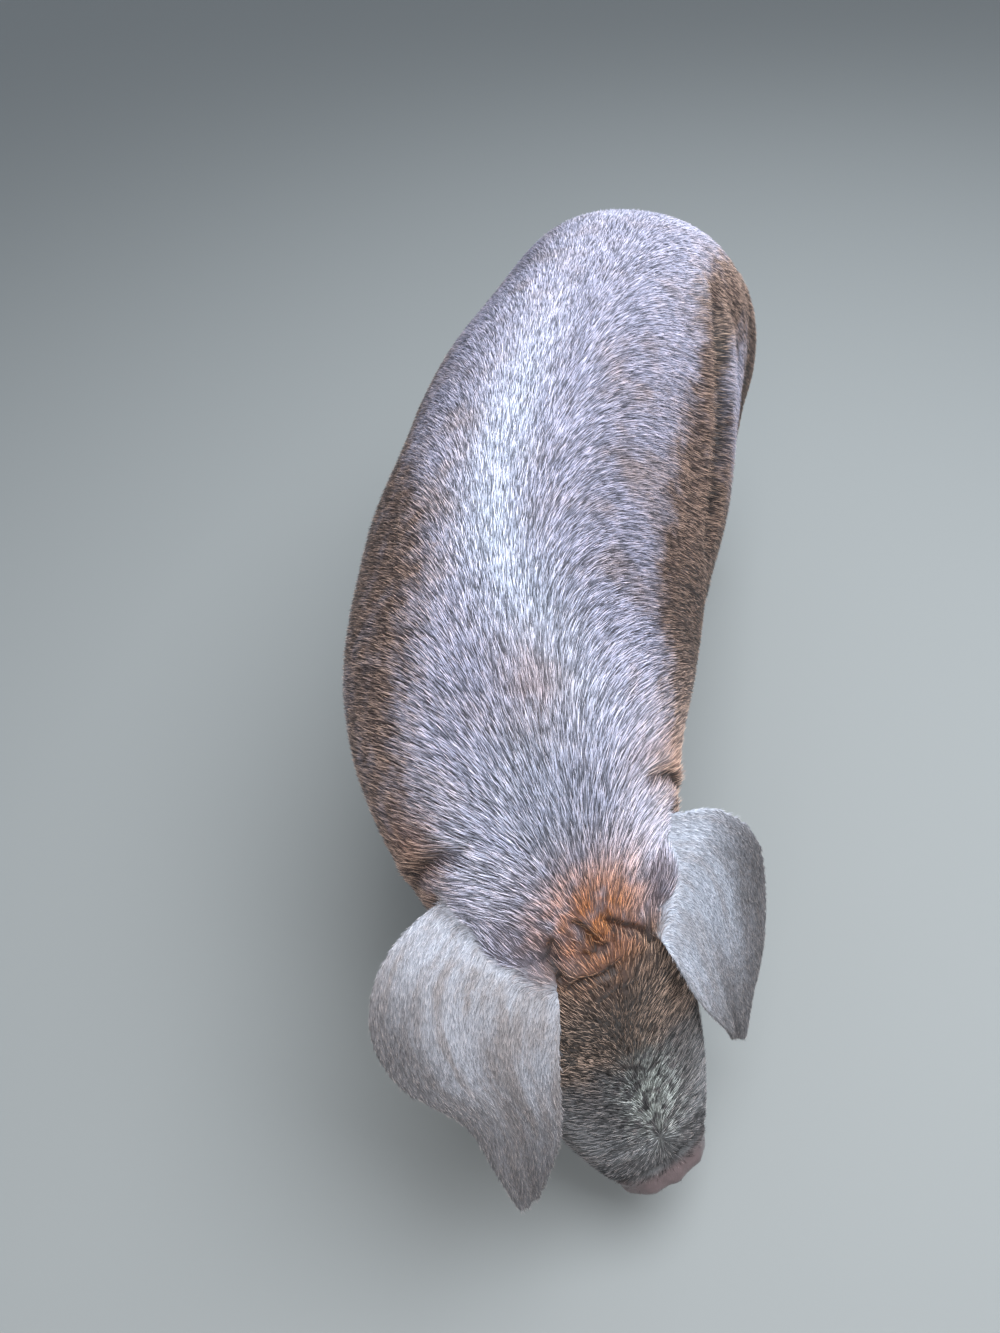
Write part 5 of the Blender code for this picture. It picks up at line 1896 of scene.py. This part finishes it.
@dataclass
class Bristles:
    """The hair, laid over the skin by one tree of geometry nodes."""

    skin: Object
    width: float = 0.00118
    lift: float = math.radians(10.0)
    lift_spread: float = math.radians(8.0)
    sway: float = math.radians(11.0)
    crowding: float = 1.30
    gap: float = 0.55
    seed: int = 7
    quick_share: int = 4
    quick_width: float = 1.8

    def bristle(self) -> Object:
        """One hair of length one along X: a thin closed spike that stands on its root.

        Returns:
            The object that the tree repeats.
        """
        mesh = bpy.data.meshes.new("bristle")
        points = [(-0.04, -0.5, -0.25), (-0.04, 0.5, -0.25), (0.05, 0.0, 0.42), (1.0, 0.0, 0.0)]
        mesh.from_pydata(points, [], [(0, 1, 2), (0, 3, 1), (1, 3, 2), (2, 3, 0)])
        store(mesh, "tip", np.array([[0.0], [0.0], [0.08], [1.0]]))
        patch = np.array([[-0.0013, -0.0013, 0], [0.0013, -0.0013, 0], [0.0, -0.0002, 0], [0.0, 0.0015, 0]])
        store(mesh, "patch", patch)
        turned_out = bmesh.new()
        turned_out.from_mesh(mesh)
        bmesh.ops.recalc_face_normals(turned_out, faces=turned_out.faces)
        turned_out.to_mesh(mesh)
        turned_out.free()
        return added("bristle", mesh)

    def tree(self) -> tuple[bpy.types.NodeTree, dict[str, str]]:
        """The tree of nodes, and the identifiers of its inputs by name.

        Returns:
            The tree, and its inputs' identifiers.
        """
        tree = bpy.data.node_groups.new("Bristles", "GeometryNodeTree")
        tree.interface.new_socket("Geometry", in_out="OUTPUT", socket_type="NodeSocketGeometry")
        kinds = {
            "Object": ("Skin", "Bristle"),
            "Int": ("Part", "Seed"),
            "Float": ("Density", "Gap", "Width", "Lift", "Lift Spread", "Sway"),
            "Material": ("Finish",),
        }
        names = {}
        for kind, inputs in kinds.items():
            for name in inputs:
                made = tree.interface.new_socket(name, in_out="INPUT", socket_type="NodeSocket" + kind)
                names[name] = made.identifier
        graph = Graph(tree)
        given = graph.node("NodeGroupInput")
        inputs = {name: graph.output(given, name) for name in names}
        points, normal = self.scattered(graph, inputs)
        geometry = self.planted(graph, inputs, points, normal)
        graph.node("NodeGroupOutput", None, {0: geometry})
        return tree, names

    def named(self, graph: Graph, name: str, kind: str = "FLOAT") -> Wire:
        """A field of the skin."""
        return graph.node("GeometryNodeInputNamedAttribute", {"data_type": kind}, {"Name": name})

    def given(self, graph: Graph, piece: Wire) -> Wire:
        """The geometry of a piece that is given to the tree."""
        settings = {"transform_space": "ORIGINAL"}
        return graph.output(graph.node("GeometryNodeObjectInfo", settings, {"Object": piece}), "Geometry")

    def drawn(self, graph: Graph, low: Any, high: Any, seed: Any) -> Wire:
        """A random number for each hair."""
        return graph.node("FunctionNodeRandomValue", {"data_type": "FLOAT"}, {0: low, 1: high, "Seed": seed})

    def scattered(self, graph: Graph, inputs: dict[str, Wire]) -> tuple[Wire, Wire]:
        """Roots scattered over one part of the skin, and the way out of the skin at each.

        Args:
            graph: The tree's graph.
            inputs: The tree's inputs by name.

        Returns:
            The roots, and a normal for each.
        """
        skin = self.given(graph, inputs["Skin"])
        settings = {"data_type": "INT", "operation": "EQUAL"}
        part = self.named(graph, "part", "INT")
        here = graph.node("FunctionNodeCompare", settings, {0: part, 1: inputs["Part"]})
        sockets = {
            "Mesh": skin,
            "Selection": here,
            "Distance Min": inputs["Gap"],
            "Density Max": inputs["Density"],
            "Density Factor": self.named(graph, "hair_weight"),
            "Seed": inputs["Seed"],
        }
        points = graph.node("GeometryNodeDistributePointsOnFaces", {"distribute_method": "POISSON"}, sockets)
        normal = graph.output(points, "Normal")
        tone = self.drawn(graph, 0.0, 1.0, inputs["Seed"] + 1)
        settings = {"data_type": "FLOAT", "domain": "POINT"}
        sockets = {"Geometry": points, "Name": "tone", "Value": tone}
        return graph.node("GeometryNodeStoreNamedAttribute", settings, sockets), normal

    def planted(self, graph: Graph, inputs: dict[str, Wire], points: Wire, normal: Wire) -> Wire:
        """Hairs on their roots, laid along the coat, as one mesh with its map and finish.

        Args:
            graph: The tree's graph.
            inputs: The tree's inputs by name.
            points: The roots.
            normal: The way out of the skin at each.

        Returns:
            The finished geometry.
        """
        lie = self.named(graph, "lie", "FLOAT_VECTOR")
        turn = graph.node("FunctionNodeAlignRotationToVector", {"axis": "X"}, {"Vector": lie})
        sockets = {"Rotation": turn, "Vector": normal}
        settings = {"axis": "Z", "pivot_axis": "X"}
        turn = graph.node("FunctionNodeAlignRotationToVector", settings, sockets)
        low, high = inputs["Lift"] - inputs["Lift Spread"], inputs["Lift"] + inputs["Lift Spread"]
        lift = self.drawn(graph, low, high, inputs["Seed"] + 2)
        sway = self.drawn(graph, 0.0 - inputs["Sway"], inputs["Sway"], inputs["Seed"] + 3)
        euler = graph.node("ShaderNodeCombineXYZ", None, {"X": 0.0, "Y": 0.0 - lift, "Z": sway})
        settings = {"rotation_space": "LOCAL"}
        turn = graph.node("FunctionNodeRotateRotation", settings, {0: turn, 1: euler})
        length = self.named(graph, "hair_length") * self.drawn(graph, 0.7, 1.25, inputs["Seed"] + 4)
        wide = inputs["Width"] * self.drawn(graph, 0.75, 1.2, inputs["Seed"] + 5)
        scale = graph.node("ShaderNodeCombineXYZ", None, {"X": length, "Y": wide, "Z": wide})
        bristle = self.given(graph, inputs["Bristle"])
        sockets = {"Points": points, "Instance": bristle, "Rotation": turn, "Scale": scale}
        hairs = graph.node("GeometryNodeInstanceOnPoints", None, sockets)
        hairs = graph.node("GeometryNodeRealizeInstances", None, {"Geometry": hairs})
        spot = self.named(graph, "root_map", "FLOAT_VECTOR") + self.named(graph, "patch", "FLOAT_VECTOR")
        settings = {"data_type": "FLOAT2", "domain": "CORNER"}
        sockets = {"Geometry": hairs, "Name": "OFBake", "Value": spot}
        hairs = graph.node("GeometryNodeStoreNamedAttribute", settings, sockets)
        return graph.node("GeometryNodeSetMaterial", None, {"Geometry": hairs, "Material": inputs["Finish"]})

    def keep_map(self) -> None:
        """Copies the skin's map to a field that the roots can read."""
        mesh = self.skin.data
        flat = np.empty(len(mesh.loops) * 2, np.float32)
        mesh.uv_layers["OFBake"].uv.foreach_get("vector", flat)
        store(mesh, "root_map", np.pad(flat.reshape(-1, 2), ((0, 0), (0, 1))), "CORNER")

    def grow(self, areas: dict[Coat, float], finish: Material) -> list[Object]:
        """Makes every part of the coat.

        Args:
            areas: The weighed area of each part.
            finish: The hair's material.

        Returns:
            The coat's pieces.
        """
        self.keep_map()
        tree, names = self.tree()
        bristle = self.bristle()
        made = []
        for part, (count, width) in BRISTLES.items():
            carrier = added("carrier", bpy.data.meshes.new("carrier"))
            scatter = carrier.modifiers.new("Hair", "NODES")
            scatter.node_group = tree
            values = {
                "Skin": self.skin,
                "Bristle": bristle,
                "Part": part.value,
                "Density": self.crowding * count / max(areas[part], 1e-6),
                "Gap": self.gap * math.sqrt(areas[part] / count),
                "Width": self.width * width,
                "Lift": self.lift,
                "Lift Spread": self.lift_spread,
                "Sway": self.sway,
                "Seed": self.seed + 10 * part.value,
                "Finish": finish,
            }
            for name, value in values.items():
                scatter[names[name]] = value
            mesh = evaluated(carrier)
            bpy.data.objects.remove(carrier)
            name = "coat_" + part.name.lower()
            mesh.name = name
            self.tidy(mesh)
            made.append(added(name, mesh))
            log.info("%s: %d triangles", name, len(mesh.polygons))
        bpy.data.objects.remove(bristle)
        return made

    def tidy(self, mesh: Mesh) -> None:
        """Drops the fields that only the growing needed.

        Args:
            mesh: A piece of the coat.
        """
        for name in ("root_map", "patch", "lie", "hair_length", "hair_weight", "part"):
            if name in mesh.attributes:
                mesh.attributes.remove(mesh.attributes[name])


# Eyes and horn


@dataclass
class Eyes:
    """Both eyeballs, each with a slight bulge over the iris."""

    head: Head
    spine: Spine
    finish: EyeFinish
    gaze: Place = (0.42, 0.88, 0.22)
    bulge: float = 0.0007
    inset: float = 0.0002

    def build(self) -> list[Object]:
        """Makes both eyes, which stand for the nodes of the eyes.

        Returns:
            The pieces, one for each eye.
        """
        material = self.finish.material()
        made = []
        for side in Side:
            ball = bmesh.new()
            radius = self.head.eye_radius - self.inset
            bmesh.ops.create_uvsphere(ball, u_segments=48, v_segments=32, radius=radius)
            points = np.array([v.co for v in ball.verts])
            reach = np.degrees(np.arccos(np.clip(points[:, 2] / np.linalg.norm(points, axis=1), -1, 1))) / 90
            points += points * (self.bulge / self.head.eye_radius * hump(reach, 0.0, 0.45))[:, None]
            axis = self.head.axes.matrix() @ (np.array(self.gaze) * side.mirror)
            place = self.head.axes.place(np.array(self.head.eye_place) * side.mirror)
            axis = self.spine.turn_directions(place[:, 0], axis[None])[0]
            spin = np.array(Vector(axis).to_track_quat("Z", "Y").to_matrix())
            points = points @ spin.T + self.spine.bend(place)
            for vert, point in zip(ball.verts, points):
                vert.co = point
            mesh = bpy.data.meshes.new("eyeball_" + side.label)
            ball.to_mesh(mesh)
            ball.free()
            store(mesh, "reach", reach[:, None])
            drawn_smooth(mesh)
            mesh.materials.append(material)
            obj = added("eyeball_" + side.label, mesh)
            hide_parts("eye_" + side.label)
            made.append(obj)
        return made


@dataclass
class Claws:
    """The horn of every claw and dewclaw, rounded from the solids."""

    finish: HornFinish
    sharp: float = math.radians(50)
    crease: float = 0.85
    rounds: int = 2

    def build(self, nodes: dict[str, Object]) -> list[Object]:
        """Makes a smooth piece for each node of horn.

        Args:
            nodes: The solids by name.

        Returns:
            The pieces, one for each claw.
        """
        material = self.finish.material()
        made = []
        for node in sorted(nodes):
            kind = node.split("_")[0]
            if kind not in ("hoof", "dewclaw"):
                continue
            form = bmesh.new()
            form.from_mesh(nodes[node].data)
            bmesh.ops.remove_doubles(form, verts=form.verts, dist=1e-5)
            limits = {"angle_face_threshold": 0.35, "angle_shape_threshold": 1.2}
            bmesh.ops.join_triangles(form, faces=form.faces, **limits)
            crease = form.edges.layers.float.new("crease_edge")
            for edge in form.edges:
                if len(edge.link_faces) == 2 and edge.calc_face_angle(0.0) > self.sharp:
                    edge[crease] = self.crease
            mesh = bpy.data.meshes.new(node)
            form.to_mesh(mesh)
            form.free()
            obj = added(node + "_horn", mesh)
            smooth = obj.modifiers.new("Round", "SUBSURF")
            smooth.levels = smooth.render_levels = self.rounds
            obj.data = evaluated(obj)
            obj.modifiers.clear()
            drawn_smooth(obj.data)
            obj.data.materials.clear()
            obj.data.materials.append(material)
            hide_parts(node)
            made.append(obj)
        return made


# The studio


@dataclass(frozen=True)
class Lamp:
    """A soft square lamp that faces a point: side in metres, power in watts."""

    name: str
    place: Place
    aim: Place
    size: float
    power: float
    colour: Colour

    def build(self) -> None:
        """Hangs the lamp."""
        data = bpy.data.lights.new(self.name, "AREA")
        data.size, data.energy, data.color = self.size, self.power, self.colour
        obj = added(self.name, data)
        obj.location = self.place
        aim = Vector(self.aim) - Vector(self.place)
        obj.rotation_euler = aim.to_track_quat("-Z", "Y").to_euler()


@dataclass
class Studio:
    """A pale floor, soft lights and the photograph's camera."""

    picture: tuple[int, int] = (1000, 1333)
    focal_pixels: float = 946.6
    heading: float = math.radians(200.892)
    pitch: float = math.radians(46.57)
    roll: float = math.radians(-7.45)
    stand: Place = (1.0605, 0.2223, 1.4160)
    floor_colour: Colour = (0.20, 0.20, 0.19)
    floor_reach: float = 40.0
    sky: tuple[float, ...] = (0.76, 0.87, 1.0, 1.0)
    sky_strength: float = 0.68
    lamps: tuple[Lamp, ...] = (
        Lamp("overhead", (0.0, 0.9, 3.2), (0.0, 0.0, 0.6), 2.4, 225.0, (0.84, 0.92, 1.0)),
        Lamp("front", (2.4, 0.5, 2.8), (0.4, 0.1, 0.4), 1.6, 40.0, (1.0, 0.97, 0.93)),
        Lamp("rear", (-2.6, 0.1, 2.7), (-0.2, 0.0, 0.5), 2.4, 25.0, (0.76, 0.88, 1.0)),
    )

    def camera(self) -> None:
        """Sets the camera where the photographer's stood."""
        data = bpy.data.cameras.new("camera")
        data.sensor_width = 36.0
        data.lens = self.focal_pixels / max(self.picture) * data.sensor_width
        data.clip_start, data.clip_end = 0.02, 100.0
        obj = added("camera", data)
        level = math.cos(self.pitch)
        ahead = (math.cos(self.heading) * level, math.sin(self.heading) * level, -math.sin(self.pitch))
        ahead = Vector(ahead)
        right = ahead.cross(Vector((0, 0, 1))).normalized()
        turn = Matrix((right, right.cross(ahead), -ahead)).transposed() @ Matrix.Rotation(self.roll, 3, "Z")
        obj.matrix_world = Matrix.Translation(self.stand) @ turn.to_4x4()
        bpy.context.scene.camera = obj

    def floor(self) -> None:
        """A plain pale floor."""
        mesh = bpy.data.meshes.new("floor")
        r = self.floor_reach
        mesh.from_pydata([(-r, -r, 0), (r, -r, 0), (r, r, 0), (-r, r, 0)], [], [(0, 1, 2, 3)])
        fixed = {"Roughness": 0.85, "Base Color": self.floor_colour}
        mesh.materials.append(shader("pale_floor", fixed)[0])
        obj = added("floor", mesh)
        obj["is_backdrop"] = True

    def build(self) -> None:
        """Sets up floor, sky, lamps and camera."""
        self.floor()
        world = bpy.data.worlds.new("studio")
        world.use_nodes = True
        sky = world.node_tree.nodes["Background"].inputs
        sky["Color"].default_value = self.sky
        sky["Strength"].default_value = self.sky_strength
        bpy.context.scene.world = world
        for lamp in self.lamps:
            lamp.build()
        bpy.context.scene.view_settings.view_transform = "Standard"
        self.camera()


FLESH = ("barrel", "chest", "neck", "rump", "tail", "head", "lower_jaw", "snout", "ear_left", "ear_right")
LIMBS = ("foreleg", "shin", "forefoot", "thigh", "shank", "hindfoot")


def main() -> tuple[list[float], list[float]]:
    """Builds the dressed pig, and gives back the box of its solids.

    Returns:
        The lowest and the highest corner of the box.
    """
    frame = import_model()
    solid_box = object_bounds()
    Studio().build()
    head, spine = Head(), Spine()
    skin_maker = Skin(Trunk(), head, Tail(), spine)
    skin = skin_maker.build()
    areas = Growth(skin_maker).write(skin)
    coat = Bristles(skin).grow(areas, BristleFinish(HAIR_COLOURS).material())
    skin.data.materials.append(HideFinish(SKIN_COLOURS).material())
    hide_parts(*FLESH, *(f"{limb}_{side.label}" for limb in LIMBS for side in Side))
    eyes = Eyes(head, spine, EyeFinish()).build()
    claws = Claws(HornFinish()).build(frame["nodes"])
    for piece in [skin, *coat, *eyes, *claws]:
        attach(piece, "root")
        log.info("%s: %d faces", piece.name, len(piece.data.polygons))
    return solid_box


if __name__ == "__main__":
    solid = main()
